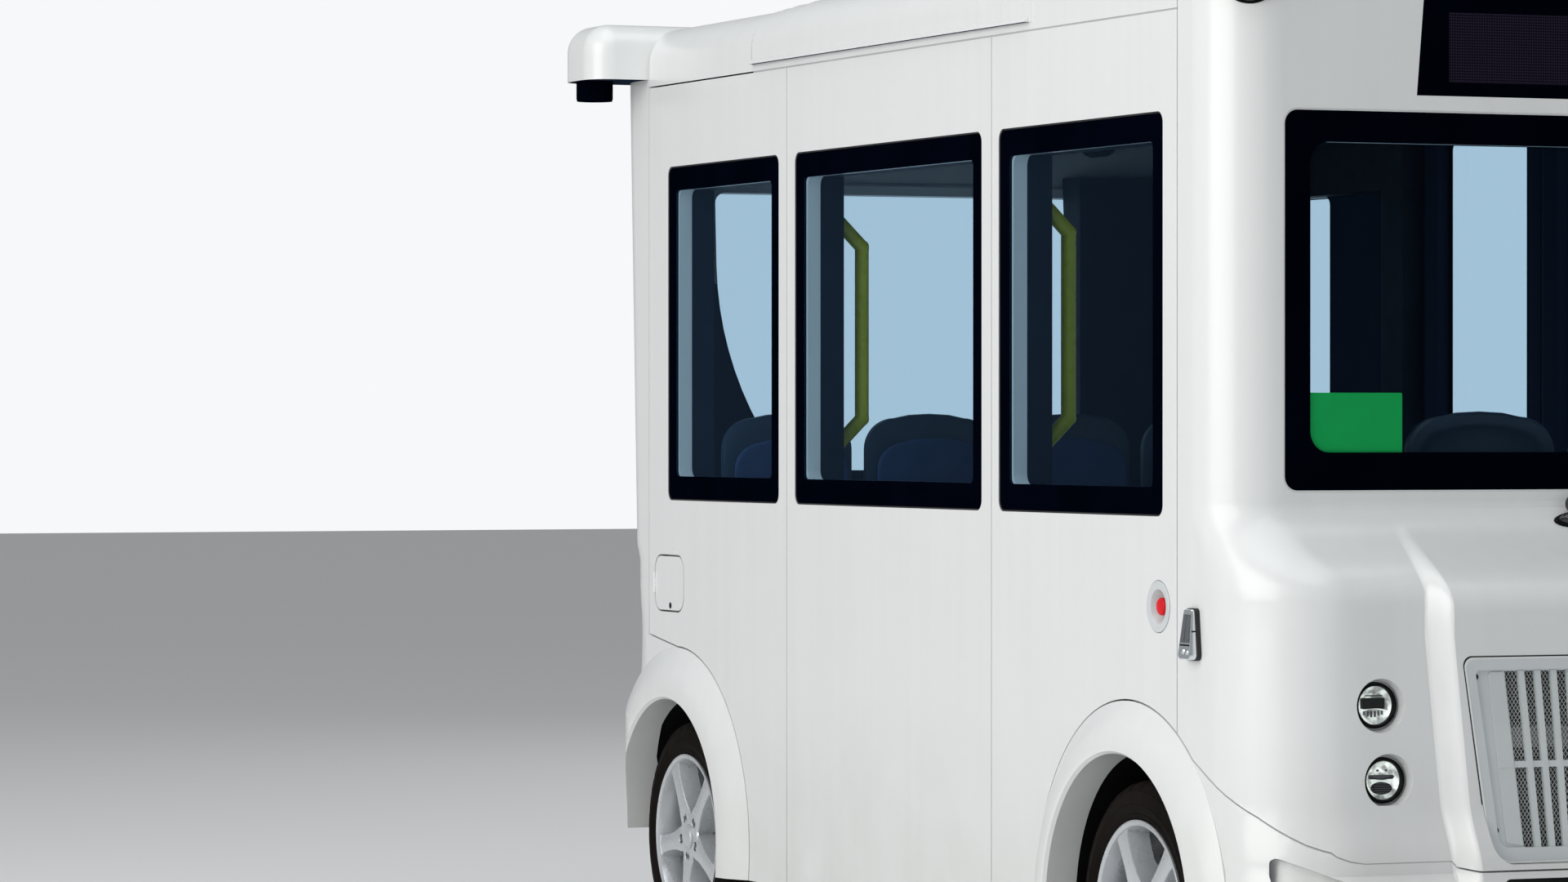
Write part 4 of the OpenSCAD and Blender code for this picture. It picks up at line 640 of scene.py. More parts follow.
for side, w in SIDE_WINDOWS:
    seal(side_outline(w), on_side(side))
# painted highlight: the windscreen's lip is pale trim that stands for light on the body's edge round the glass
seal(screen_outline, on_screen, 1)
seals.make("glass_seals_and_highlight_lip", [RUBBER, WHITE_TRIM_AND_HIGHLIGHT])

for leaf in ("front", "rear"):
    node = "door_glass_" + leaf
    lo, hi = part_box(node)
    pane = Shape()
    glazing(pane, rounded(lo[0], lo[2], hi[0], hi[2], 0.03),
            rounded(lo[0] + 0.035, lo[2] + 0.045, hi[0] - 0.035, hi[2] - 0.045, 0.02),
            lambda u, v, d, y=hi[1]: (u, y - d, v))
    pane.make(node + "_pane", [BLACK_GLOSS, PANE], [node], BODY_OF[node], slot="glass_clear")

# ---------------- destination sign: an unlit dot matrix
SIGN_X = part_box("sign_panels")[1][0]
sign = Shape()
sign.box((SIGN_X - 0.001, -0.387, 2.175), (SIGN_X + 0.0004, 0.387, 2.33))
sign.make("front_sign_matrix", [MATRIX])

# ---------------- grille: mesh, plates, rim and screws
BONNET_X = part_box("grille")[1][0] - 0.003
MESH_Z, MESH_HALF_W = (0.501, 0.885), (0.334, 0.383)
CELL_W, CELL_H = 0.0092, 0.0136
STRAND, STRAND_X = 0.0008, BONNET_X - 0.0128      # half a strand's width, and the mesh's place


def mesh_half(z):
    return MESH_HALF_W[0] + (MESH_HALF_W[1] - MESH_HALF_W[0]) * (z - MESH_Z[0]) / (MESH_Z[1] - MESH_Z[0])


mesh = Shape()
rows = int((MESH_Z[1] - MESH_Z[0]) / (CELL_H / 2)) + 2
cols = int(MESH_HALF_W[1] / (CELL_W / 2)) + 1
verts, faces = [], []
for j in range(rows):
    z0 = MESH_Z[0] - 0.003 + j * CELL_H / 2
    z1 = z0 + CELL_H / 2
    half = mesh_half(z1) + 0.004
    for i in range(-cols, cols):
        ya, yb = i * CELL_W / 2, (i + 1) * CELL_W / 2
        if (i + j) % 2:
            ya, yb = yb, ya
        if max(abs(ya), abs(yb)) > half:
            continue
        base = len(verts)
        verts += [(STRAND_X, ya - STRAND, z0), (STRAND_X, ya + STRAND, z0),
                  (STRAND_X, yb + STRAND, z1), (STRAND_X, yb - STRAND, z1),
                  (STRAND_X + 0.0009, ya, z0 + 0.0004), (STRAND_X + 0.0009, yb, z1 - 0.0004)]
        faces += [(base, base + 4, base + 5, base + 3), (base + 4, base + 1, base + 2, base + 5)]
mesh.add(verts, faces)
mesh.make("grille_mesh", [MESH_METAL], shade=False)

FRAME_Z, FRAME_HALF_W = (0.467, 0.916), (0.429, 0.484)


def grille_outline(grow, n=8):
    """Outline of the frame: large round corners below, small ones above, leaning sides."""
    points = []
    for cz, r, half, start, span in ((FRAME_Z[0] + 0.06 - grow, 0.06, FRAME_HALF_W[0] - 0.062 + grow, -90, 83),
                                     (FRAME_Z[1] - 0.02 + grow, 0.02, FRAME_HALF_W[1] - 0.02 + grow, -7, 97)):
        for i in range(n + 1):
            a = math.radians(start + span * i / n)
            points.append((half + r * math.cos(a), cz + r * math.sin(a)))
    return points + [(-u, v) for u, v in reversed(points)]


def frame_band(shape, section, mat):
    """Band round the grille; its section is (outwards, forwards) pairs."""
    shape.band([[(BONNET_X + x, u, v) for u, v in grille_outline(grow)] for grow, x in section], mat)


rim = Shape()
frame_band(rim, mm((-0.2, 0.8), (-0.2, 2.6), (-1.6, 3.7), (-3.4, 3.7), (-5, 2.8)), 0)
# painted shadow: a thin dark band on the bonnet just outside the rim stands for the shade in the gap round the
# grille
frame_band(rim, mm((3, 0.2), (3, 0.4), (-0.2, 0.4)), 1)
rim.make("grille_rim", [WHITE_TRIM_AND_HIGHLIGHT, VOID])

plates = Shape()
PLATE = ((0.4225, 0.879), (0.4245, 0.879), (0.3795, 0.516), (0.3775, 0.512), (0.3375, 0.505), (0.3865, 0.884),
         (0.418, 0.884))
PLATE_X = (BONNET_X - 0.0042, BONNET_X - 0.0006)
for s in (-1, 1):
    plates.loft([[(x, s * y, z) for y, z in PLATE] for x in PLATE_X])
    # end of the cross bar, pressed into the plate
    plates.box((PLATE_X[1] - 0.001, s * 0.362, 0.6745), (PLATE_X[1] + 0.0012, s * 0.398, 0.6895))
plates.make("grille_plates", [GRILLE], bevel=0.0012)

screws = Shape()
for s in (-1, 1):
    for y, z in ((0.4537, 0.8735), (0.403, 0.5395)):
        screws.lathe(mm((0.1, 1.2), (2.2, 1.2), (2.4, 2.6), (5, 3), (6, 1.8), (6.2, 0)),
                     turned((BONNET_X - 0.004, s * y, z), 90), 0, 20)
screws.make("grille_screws", [DARK_METAL])

# ---------------- round lamps
LAMP_FRONT_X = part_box("headlamps")[1][0]


def head_lamp(shape, y, z, upper):
    """Black ring, bright dish and its inserts; across and up are measured from the lamp's middle."""
    place = turned((LAMP_FRONT_X, y, z), 90)

    def at(u, v, depth):
        return place @ Vector((-v, u, depth))

    def plate(outline, depth, thick, mat):
        shape.loft([[at(u, v, depth - thick) for u, v in outline], [at(u, v, depth) for u, v in outline]], mat)

    def arc(w, v, sag, thick, depth, mat):
        path = [(w * (-1 + i / 8), v - sag * (1 - (1 - i / 8) ** 2)) for i in range(17)]
        plate(path + [(u, q + thick) for u, q in reversed(path)], depth, 0.003, mat)

    def slab(u0, v0, u1, v1, r, depth, thick, mat):
        """Flat insert with round corners, in millimetres."""
        outline = rounded(u0 / 1000, v0 / 1000, u1 / 1000, v1 / 1000, r / 1000)
        plate(outline, depth / 1000, thick / 1000, mat)

    shape.lathe(mm((49.5, -14), (50, -3), (49, 0), (45.5, 0), (42.5, -3), (41.8, -12)), place)
    dish = [(0.0418 * t, -0.036 + 0.026 * t * t) for t in (0.02, 0.2, 0.35, 0.5, 0.65, 0.8, 0.9, 1.0)]
    shape.lathe(dish, place, 1)
    if upper:
        slab(-28.5, -8, 26, 15.5, 3, -11.5, 10, 2)
        arc(0.0355, -0.015, -0.006, 0.0022, -0.01, 1)
        for u in (-21, -11.5, -3.5, 5.5, 14.5, 22.5):
            slab(u - 1.3, -27.5 + abs(u) * 0.3, u + 1.3, -12.5, 0.8, -15, 6, 3)
        slab(-20, 19.5, 21.5, 22.2, 1, -14, 3, 3)
    else:
        for u in (-10.5, 10.5):
            shape.lathe(mm((0.1, -12.5), (5, -13), (9.2, -16.5), (10.5, -24)),
                        Matrix.Translation(at(u / 1000, 0.0235, 0) - place.translation) @ place, 1, 24)
            slab(u - 3, 19, u + 3, 23.5, 1.2, -11.5, 3, 3)
        slab(-30, 2, 30, 11.5, 3, -15, 4, 3)
        arc(0.03, 0.007, 0.006, 0.0018, -0.0105, 2)
        turns = [k * math.pi / 16 for k in range(32)]
        plate([(0.0245 * math.cos(a), -0.0175 + 0.0135 * math.sin(a)) for a in turns], -0.011, 0.008, 2)
        for v in (-27.5, -22.5, -17.5, -12.5, -7.5):
            half = 21.5 * math.sqrt(max(0.1, 1 - ((v + 17.5) / 13.5) ** 2))
            slab(-half, v - 0.6, half, v + 0.6, 0.3, -10.3, 1, 3)
    cover = [(0.043 * t, 0.001 - 0.0112 * t ** 2.4) for t in (0.2, 0.4, 0.6, 0.75, 0.88, 1.0)]
    shape.lathe([(0.0001, 0.001)] + cover, place, 4)


lamps = Shape()
for s in (-1, 1):
    head_lamp(lamps, s * 0.6555, 0.812, True)
    head_lamp(lamps, s * 0.636, 0.649, False)
lamps.make("lamp_units", [BEZEL, REFLECTOR, VOID, LAMP_GREY, LAMP_COVER], ["headlamps"])

# repeaters on the sides: a tapered clear lens with a dark window in a bright frame, on a thick gasket
MARKER_X, MARKER_Z = FRONT_SEAM_X + 0.088, 0.9605
# lower and upper corners: half width, height, radius and how far the lens stands out
MARKER_CORNERS = ((0.019, -0.0435, 0.014, 0.03), (0.013, 0.0475, 0.01, 0.02))


def marker_ring(side, inset, share, n=6):
    """Outline of the lens at a share of the way out from the skin."""
    ring = []
    for sx, level, start in ((1, 0, -90), (1, 1, 0), (-1, 1, 90), (-1, 0, 180)):
        across, up, r, out = MARKER_CORNERS[level]
        for i in range(n + 1):
            a = math.radians(start + 90 * i / n)
            ring.append((MARKER_X + sx * across + (r - inset) * math.cos(a),
                         side * (HALF_W + 0.0003 + (out - 0.0003) * share),
                         MARKER_Z + up + (r - inset) * math.sin(a)))
    return ring


def marker_level(side, inset, out):
    return [(x, side * (HALF_W + out), z) for x, y, z in marker_ring(side, inset, 0)]


def marker_face(side, u, v, lift):
    """A place on the sloping outer face: across and up from the middle."""
    t = (v - MARKER_CORNERS[0][1]) / (MARKER_CORNERS[1][1] - MARKER_CORNERS[0][1])
    out = MARKER_CORNERS[0][3] + (MARKER_CORNERS[1][3] - MARKER_CORNERS[0][3]) * t
    return (MARKER_X + u * (1 - 0.28 * t), side * (HALF_W + out + lift), MARKER_Z + v)


def marker(shape, side):
    shape.loft([marker_level(side, inset, out) for inset, out in mm((0, 0.4), (0, 10.5), (1.2, 11.8))])
    rings = [marker_ring(side, inset, share) for inset, share in ((0.0022, 0.78), (0.0035, 0.9), (0.006, 0.93))]
    shape.loft([marker_level(side, 0.0022, 0.0118)] + rings, 1)

    def patch(u0, v0, u1, v1, lift, thick, mat):
        outline = rounded(u0, v0, u1, v1, 0.0015)
        shape.loft([[marker_face(side, u, v, lift - thick) for u, v in outline],
                    [marker_face(side, u, v, lift) for u, v in outline]], mat)

    patch(-0.023, -0.018, -0.003, 0.044, -0.0006, 0.004, 2)
    patch(0.0, -0.018, 0.0215, 0.044, -0.0006, 0.004, 2)
    patch(-0.023, -0.025, 0.0215, -0.0215, -0.0004, 0.003, 3)
    for u, v, r in ((-0.006, -0.037, 0.0085), (0.015, -0.039, 0.007)):
        spot = turned(marker_face(side, u, v, -0.005), -90 * side, "X")
        shape.lathe([(0.0001, 0.0056), (r * 0.6, 0.0048), (r * 0.92, 0.0022), (r, -0.001)], spot, 1, 20)
        shape.lathe([(r + 0.0003, -0.001), (r + 0.0012, 0.0012), (r + 0.0024, -0.001)], spot, 3, 20)
    # the moulded step in the end that faces forward
    x = MARKER_X + 0.0305
    shape.box((x - 0.004, side * (HALF_W + 0.0128), MARKER_Z + 0.006),
              (x - 0.0012, side * (HALF_W + 0.0215), MARKER_Z + 0.009), 3)
    rings = [marker_ring(side, inset, share) for inset, share in ((0.0018, 0.8), (0.003, 0.93), (0.0055, 1.0))]
    shape.loft([marker_level(side, 0.0018, 0.012)] + rings, 4, True, (False, True))


markers = Shape()
for s in (-1, 1):
    marker(markers, s)
markers.make("repeater_lamps", [RUBBER, CHROME, LAMP_GREY, BEZEL, LAMP_COVER], ["side_markers"])

# ---------------- sealed joints of the roof
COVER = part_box("roof_cover")
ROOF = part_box("roof")
EDGE_R = 0.1      # of the roof's long edges
joints = Shape()
joints.box((COVER[0][0] + 0.006, -HALF_W + 0.001, MIDDLE[1][2] - 0.0005),
           (FRONT_SEAM_X - 0.003, -HALF_W + 0.007, ROOF[0][2] + 0.0005), 0)


def over_roof(out):
    """Line over the roof's skin from the right lip to the left one, out metres above it."""
    r = EDGE_R + out
    line = [(-HALF_W - out, COVER[0][2] + 0.012)]
    for degrees in range(0, 91, 10):
        a = math.radians(degrees)
        line.append((-HALF_W + EDGE_R - r * math.cos(a), ROOF[1][2] - EDGE_R + r * math.sin(a)))
    return line + [(-y, z) for y, z in reversed(line)]


bead = [[(COVER[0][0] + dx, y, z) for y, z in over_roof(out)] for dx, out in
        ((-0.0028, -0.001), (-0.0024, 0.0012), (0.0002, 0.0016), (0.0004, -0.001))]
for k in range(4):
    joints.loft([bead[k], bead[(k + 1) % 4]], 1, False, (False, False))
joints.make("roof_joints", [SEALANT_AND_HIGHLIGHT, METAL])

# painted highlight: a light grey strip along the header above the rear window stands for light on its lower
# edge; and a round speaker above the seats
header = Shape()
header.box((-1.946, -0.66, 2.089), (-1.934, 0.386, 2.0955), 0)
place = turned((-1.89, 0.491, 2.232), 90)
header.lathe(mm((50, -60), (50, 0), (47, 4), (41, 4), (38, 0), (37, -6)), place, 1, 40)
header.lathe(mm((37, -5), (20, -8), (0.1, -10)), place, 2, 40)
header.make("header_highlight_and_speaker", [SEALANT_AND_HIGHLIGHT, VOID, LINING])

# ---------------- dark sensor domes on the front
domes = Shape()
across = Vector((0.9, -0.436, 0)).normalized()
place = Matrix.Translation((1.68, -0.87, 2.406)) @ across.to_track_quat("Z", "Y").to_matrix().to_4x4()
domes.lathe(mm((69, -20), (69, 4), (66.5, 7), (64, 7)), place)
domes.lathe(mm((64, 6), (60, 18), (50, 29), (34, 37), (16, 40.5), (0.1, 41.2)), place, 1)
CAP = turned((1.7215, 0, 1.205), 48.7)


def oval(a, b, h, n=56):
    """Ring of the cap in the middle of the front, h above the sloping skin, in millimetres."""
    turns = [2 * math.pi * k / n for k in range(n)]
    return [CAP @ (Vector((b * math.sin(t), a * math.cos(t), h)) / 1000) for t in turns]


domes.loft([oval(*row) for row in ((135, 30, -12), (135, 30, 4), (132, 28, 8), (127, 25.5, 9))])
domes.loft([oval(*row) for row in ((127, 25, 7), (118, 22.5, 15), (102, 18.5, 19.5), (78, 14, 22.5),
                                   (50, 9, 24.5), (10, 2, 25.5))], 1)
for a, b, h in ((113, 21.2, 16.3), (101, 18.2, 19.2)):
    domes.band([oval(a, b, h - 2), oval(a - 0.5, b - 0.3, h + 1.6), oval(a - 4, b - 1.2, h + 1.8),
                oval(a - 4.5, b - 1.4, h - 2)], 2)
domes.make("front_sensor_domes", [BEZEL, DOME_GLASS, METAL])

# stop buttons: a pale dish with a rounded red head
STOP_X, STOP_Z = FRONT_SEAM_X - 0.093, 1.016
buttons = Shape()
for s in (-1, 1):
    place = turned((STOP_X, s * HALF_W, STOP_Z), -90 * s, "X")
    buttons.lathe(mm((57.5, -4), (57.5, 1), (55.5, 2.2), (42, 2), (38.5, 0.8), (35, -6), (31, -16),
                      (26, -24.5), (20, -26.5), (0.1, -26.5)), place, 0, 56)
    buttons.lathe(mm((13.5, -26), (13.5, -18), (19, -16.5), (20, -12), (19.5, -6), (17, -3), (12, -1.6),
                      (0.1, -1.2)), place, 1, 40)
buttons.make("stop_button_units", [DISH, BUTTON_RED], ["stop_buttons"])

# lock of the charging flap
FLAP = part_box("charge_flap")
lock = Shape()
place = turned(((FLAP[0][0] + FLAP[1][0]) / 2 + 0.012, -HALF_W, FLAP[0][2] + 0.0125), 90, "X")
lock.lathe(mm((8.5, -0.5), (8.5, 0.8), (7, 1.4), (6, 1.4)), place, 0, 28)
lock.lathe(mm((6, 1.4), (6, 0.6), (0.1, 0.6)), place, 0, 28)
lock.make("flap_lock", [VOID], body=BODY_OF["charge_flap"])

# ---------------- wheels
RIM_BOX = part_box("rim_front_right")
RIM_R = (RIM_BOX[1][2] - RIM_BOX[0][2]) / 2
TYRE_W = TYRE[1][1] - TYRE[0][1]
SPOKES, SPOKE_TURN = 5, math.radians(46)
# half section of a tyre: WALL out from the rim's seat, SHOULDER in from the tread, both in from the side
WALL = mm((0, 14), (10, 7), (18, 4.5), (20, 5.8), (24, 5.2), (34, 1.2), (40, 0.6), (41.5, 1.8), (43.5, 0.6),
          (56, 3))
SHOULDER = mm((24, 7.5), (22.5, 9.6), (20, 8.8), (10, 16.5), (3.5, 27), (0.4, 40), (0.4, 48), (7.5, 50),
              (7.5, 57), (0.2, 59))
# section of a rim, in from its edge and in from the lip or from its inner end
LIP_OUT = mm((10, 4), (3.5, 0), (0, 1.5), (0, 6), (8, 12), (10, 30))
INNER_END = mm((10, 30), (2, 6), (4, 3), (12, 4), (20, 26))
LIP_BACK = mm((24, 45), (20, 30), (16, 12), (12.5, 4), (10, 4))


def wheel_place(name):
    """Matrix of a wheel: local Z points outwards along the axle."""
    lo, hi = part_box(name)
    side = 1 if lo[1] > 0 else -1
    return turned([(a + b) / 2 for a, b in zip(lo, hi)], -90 * side, "X")


def tyre(shape, place):
    """Side walls with fine rings, a ribbed tread and notched shoulders."""
    h, r, seat = TYRE_W / 2, TYRE_R, RIM_R - 0.006
    half = [(seat + a, h - b) for a, b in WALL] + [(r - a, h - b) for a, b in SHOULDER]
    half += [(r - 0.0002, 0.013), (r - 0.0075, 0.011)]
    profile = half + [(pr, -ph) for pr, ph in reversed(half)]
    n = 216
    rings = []
    for i in range(n):
        a = 2 * math.pi * i / n
        ring = []
        for rr, hh in profile:
            edge = abs(hh)
            on_tread = rr > r - 0.001 and 0.012 < edge < h - 0.055
            if i % 6 == 0 and rr > r - 0.021 and edge > h - 0.046:
                rr -= 0.0055 if edge < h - 0.012 else 0.003
            if i % 3 == 1 and on_tread:
                rr -= 0.002
            ring.append(place @ Vector((rr * math.cos(a), rr * math.sin(a), hh)))
        rings.append(ring)
    shape.loft(rings + rings[:1], 0, False, (False, False))
    shape.lathe([(seat, h - 0.014), (seat, -h + 0.014)], place, 0, n)


def rim_shape(shape, place):
    """Cast wheel: barrel and lip, five deep flat-faced spokes that run into a star-shaped hub."""
    h, r = TYRE_W / 2, RIM_R
    lip = h - 0.002
    section = [(r - a, lip - b) for a, b in LIP_OUT] + [(r - a, b - h) for a, b in INNER_END]
    section += [(r - 0.03, -0.02)] + [(r - a, lip - b) for a, b in LIP_BACK]
    shape.lathe(section, place, 0, 96)
    # section of a spoke at each station: (radius, half width of the face, half width at the back, face height)
    stations = [(0.03, 0.03, 0.033, lip - 0.01), (0.062, 0.033, 0.039, lip - 0.0095),
                (0.078, 0.029, 0.037, lip - 0.0085), (0.098, 0.024, 0.033, lip - 0.0075),
                (0.13, 0.0215, 0.031, lip - 0.0065), (0.165, 0.0215, 0.032, lip - 0.006),
                (0.19, 0.024, 0.035, lip - 0.006), (r - 0.014, 0.029, 0.039, lip - 0.007)]
    for k in range(SPOKES):
        turn = place @ Matrix.Rotation(2 * math.pi * k / SPOKES + SPOKE_TURN, 4, "Z")
        rings = []
        for rad, face, back, top in stations:
            deep = 0.062 if rad < 0.1 else 0.052
            half = [(-back, top - deep), (-face - 0.002, top - 0.005), (-face, top - 0.0012),
                    (-face * 0.45, top)]
            section = half + [(0.0, top + 0.0006)] + [(-u, v) for u, v in reversed(half)]
            rings.append([turn @ Vector((rad, u, v)) for u, v in section])
        shape.loft(rings, 0)
        # bolt pocket beside the hub, and its bolt
        pocket = turn @ Matrix.Translation((0.054, 0, lip - 0.0096))
        shape.lathe(mm((15, -1), (14.6, 1.4), (13.2, 1.4), (12.6, 0.6)), pocket, 0, 28)
        shape.lathe(mm((12.8, 0.6), (8, 0.4), (0.1, 0.4)), pocket, 1, 28)
        shape.lathe(mm((7.5, 0.4), (7.5, 1), (6.2, 1.4), (0.1, 1.4)), pocket, 2, 6)
    # hub between the spokes, with its cap
    turns = [2 * math.pi * i / 60 for i in range(60)]
    rings = []
    for grow, z in ((0.003, lip - 0.078), (0.001, lip - 0.014), (-0.002, lip - 0.01), (-0.03, lip - 0.009)):
        star = [0.068 + 0.006 * math.cos(SPOKES * (a - SPOKE_TURN)) + grow for a in turns]
        rings.append([place @ Vector((s * math.cos(a), s * math.sin(a), z)) for s, a in zip(star, turns)])
    shape.loft(rings)
    shape.lathe([(0.0335, lip - 0.01), (0.033, lip - 0.005), (0.03, lip - 0.003), (0.0285, lip - 0.0036),
                 (0.027, lip - 0.0024), (0.0001, lip - 0.0012)], place)
    # brake disc and the flat of its bell
    shape.lathe(mm((139.5, 10), (139.5, -8), (62, -8), (62, 16), (80, 16), (82, 10), (139.5, 10)),
                place, 3, 72)
    shape.lathe(mm((70, 16), (66, 44), (0.1, 44)), place, 2)


for corner in ("front_right", "front_left", "rear_right", "rear_left"):
    spot = wheel_place("tyre_" + corner)
    body = BODY_OF["tyre_" + corner]
    t = Shape()
    tyre(t, spot)
    t.make("tyre_cover_" + corner, [TYRE_MAT], ["tyre_" + corner], body, slot="tyre_rubber")
    w = Shape()
    rim_shape(w, spot)
    w.make("wheel_" + corner, [RIM, DARK_METAL, METAL, DISC], ["rim_" + corner], body)

# ---------------- cabin: handle rings, ceiling, card
LINING_Y = HALF_W - 0.045      # the cabin side of the walls
handles = Shape()
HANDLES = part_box("grab_handles")
for x, side in ((DOOR_REAR_X + 0.033, -1), (DOOR_FRONT_X + 0.012, -1), (DOOR_FRONT_X + 0.045, 1)):
    y = side * (LINING_Y - 0.1505)
    for z in (1.438, 1.874):
        handles.lathe(mm((17.8, -1.2), (18.4, -1.2), (18.6, 0), (18.4, 1.2), (17.8, 1.2)),
                      Matrix.Translation((x, y, z)), 0, 32)
    for z, dz in ((HANDLES[0][2], 1), (HANDLES[1][2], -1)):
        handles.lathe(mm((18.5, -3), (30, -2), (32, 0), (30, 2), (18.5, 3)),
                      turned((x, side * (LINING_Y - 0.0675), z + dz * 0.0265), 90, "X"), 1, 32)
handles.make("handle_rings", [RUBBER, METAL])

ceiling = Shape()
y_in = LINING_Y - 0.07
segments = [(-y_in, 2.3), (-y_in + 0.06, 2.385), (-y_in + 0.14, 2.425), (0.0, 2.44), (y_in - 0.14, 2.425),
            (y_in - 0.06, 2.385), (y_in, 2.3)]
section = segments + [(y, z - 0.006) for y, z in reversed(segments)]
for ends in ((REAR_SEAM_X + 0.082, DOOR_REAR_X - 0.067), (DOOR_REAR_X - 0.003, DOOR_FRONT_X + 0.003),
             (DOOR_FRONT_X + 0.067, FRONT_SEAM_X - 0.072)):
    ceiling.loft([[(x, y, z) for y, z in section] for x in ends])
ceiling.make("ceiling_panels", [CEILING])

card = Shape()
outline = rounded(-0.73, 1.345, -0.5, 1.49, 0.004)
card.loft([[(SCREEN[0][0] - back, y, z) for y, z in outline] for back in (0.0006, 0.0011)])
card.make("screen_card", [CARD], shade=False)


# ---------------- seats
SEAT_W, PITCH, CUSHION_Z = 0.4, 0.42, 0.85
SEAT_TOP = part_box("seat_shells")[1][2]
ROWS = ((FRONT_AXLE_X + 0.262, 1), (REAR_AXLE_X + 0.01, -1))


def seat_place(x, facing, y):
    """The seat's own X points backwards; facing 1 is the front row, which looks to the rear."""
    turn = Matrix.Identity(4) if facing == 1 else Matrix.Rotation(math.pi, 4, "Z")
    return Matrix.Translation((x, y, 0)) @ turn


SEATS = [seat_place(x, facing, k * PITCH) for x, facing in ROWS for k in (-1.5, -0.5, 0.5, 1.5)]


def back_outline(w, low, top, r, n=10):
    """Half widths of a seat back with a crowned top, anticlockwise from the lower right corner."""
    points = [(w / 2 - 0.012, low), (w / 2, low + 0.012)]
    for i in range(n + 1):
        a = math.radians(90 * i / n)
        points.append((w / 2 - r + r * math.cos(a), top - r - 0.012 + r * math.sin(a)))
    points += [(0.06, top - 0.003), (0.0, top)]
    return points + [(-u, v) for u, v in reversed(points[:-1])]


def shell_back(shape, place):
    """Moulded back: an outer skin with a raised rim and a sunk field behind."""
    w, low, top = SEAT_W - 0.02, CUSHION_Z - 0.08, SEAT_TOP

    def ring(inset, x, drop=0.0):
        pts = back_outline(w - 2 * inset, low + inset, top - inset - drop, 0.085 - min(0.05, inset * 0.5))
        return [place @ Vector((x + 0.004 * (u / 0.19) ** 2 - 0.004, u, v)) for u, v in pts]

    shape.loft([ring(0.03, 0.004), ring(0.01, 0.004), ring(0.002, 0.007), ring(0.0, 0.016), ring(0.001, 0.024),
                ring(0.007, 0.0295), ring(0.022, 0.03), ring(0.034, 0.0285), ring(0.043, 0.0235),
                ring(0.06, 0.0225, 0.01)])


def shell_base(shape, place):
    x0, x1, z = -0.43, 0.02, CUSHION_Z - 0.06
    w = SEAT_W / 2 - 0.01
    rings = []
    for inset, dz in ((0.016, -0.03), (0.004, -0.026), (0.0, -0.016), (0.0, -0.006), (0.003, -0.0005)):
        pts = rounded(x0 + inset, -w + inset, x1 - inset, w - inset, 0.045 - inset)
        rings.append([place @ Vector((x, y, z + dz)) for x, y in pts])
    shape.loft(rings)


shells = Shape()
for spot in SEATS:
    shell_back(shells, spot)
    shell_base(shells, spot)
shells.make("seat_shell_set", [SHELL])


VOXEL, PRESSURE, FRAMES = 0.006, 4.0, 20
CLOTH = {"quality": 5, "mass": 0.3, "tension_stiffness": 18, "compression_stiffness": 18, "shear_stiffness": 8,
         "bending_stiffness": 0.6, "use_pressure": True, "uniform_pressure_force": PRESSURE,
         "vertex_group_mass": "held"}


def swell(obj, cap, axis):
    """Cloth pressure swells the pad; its lowest layer along the axis is held.

    No point moves more than cap.
    """
    mesh = obj.data
    group = obj.vertex_groups.new(name="held")
    lo = min(v.co[axis] for v in mesh.vertices)
    group.add([v.index for v in mesh.vertices if v.co[axis] < lo + VOXEL * 0.6], 1.0, "REPLACE")
    cloth = obj.modifiers.new("cloth", "CLOTH")
    for key, value in CLOTH.items():
        setattr(cloth.settings, key, value)
    cloth.settings.effector_weights.gravity = 0
    cloth.collision_settings.use_collision = False
    scene = bpy.context.scene
    for f in range(1, FRAMES + 1):
        scene.frame_set(f)
    puffed = bpy.data.meshes.new_from_object(obj.evaluated_get(bpy.context.evaluated_depsgraph_get()))
    obj.modifiers.clear()
    for v, p in zip(mesh.vertices, puffed.vertices):
        move = p.co - v.co
        if move.length > cap:
            move = move.normalized() * cap
        v.co += move
    bpy.data.meshes.remove(puffed)
    obj.vertex_groups.clear()
    scene.frame_set(1)


def soft_pad(name, shape, cap, axis):
    """One pad, made in the seat's own frame: voxel remesh, then the cloth simulation."""
    obj = add_object(name, shape.mesh(name))
    remesh = obj.modifiers.new("remesh", "REMESH")
    remesh.mode = "VOXEL"
    remesh.voxel_size = VOXEL
    mesh = bpy.data.meshes.new_from_object(obj.evaluated_get(bpy.context.evaluated_depsgraph_get()))
    obj.modifiers.clear()
    old, obj.data = obj.data, mesh
    bpy.data.meshes.remove(old)
    swell(obj, cap, axis)
    for poly in mesh.polygons:
        poly.use_smooth = True
    return obj


def pad_from_outline(outline, lo, hi, r, to_place):
    """Closed pad from a 2D outline, with its front and back edges rounded by r."""
    shape = Shape()
    cx = sum(u for u, v in outline) / len(outline)
    cy = sum(v for u, v in outline) / len(outline)
    span = max(abs(u - cx) for u, v in outline), max(abs(v - cy) for u, v in outline)
    rings = []
    for t, share in ((0, 1), (0, 0.5), (0.12, 0.15), (0.3, 0), (0.7, 0), (0.88, 0.15), (1, 0.5), (1, 1)):
        fu, fv = (1 - share * r / width for width in span)
        rings.append([to_place(cx + (u - cx) * fu, cy + (v - cy) * fv, lo + (hi - lo) * t) for u, v in outline])
    shape.loft(rings)
    return shape


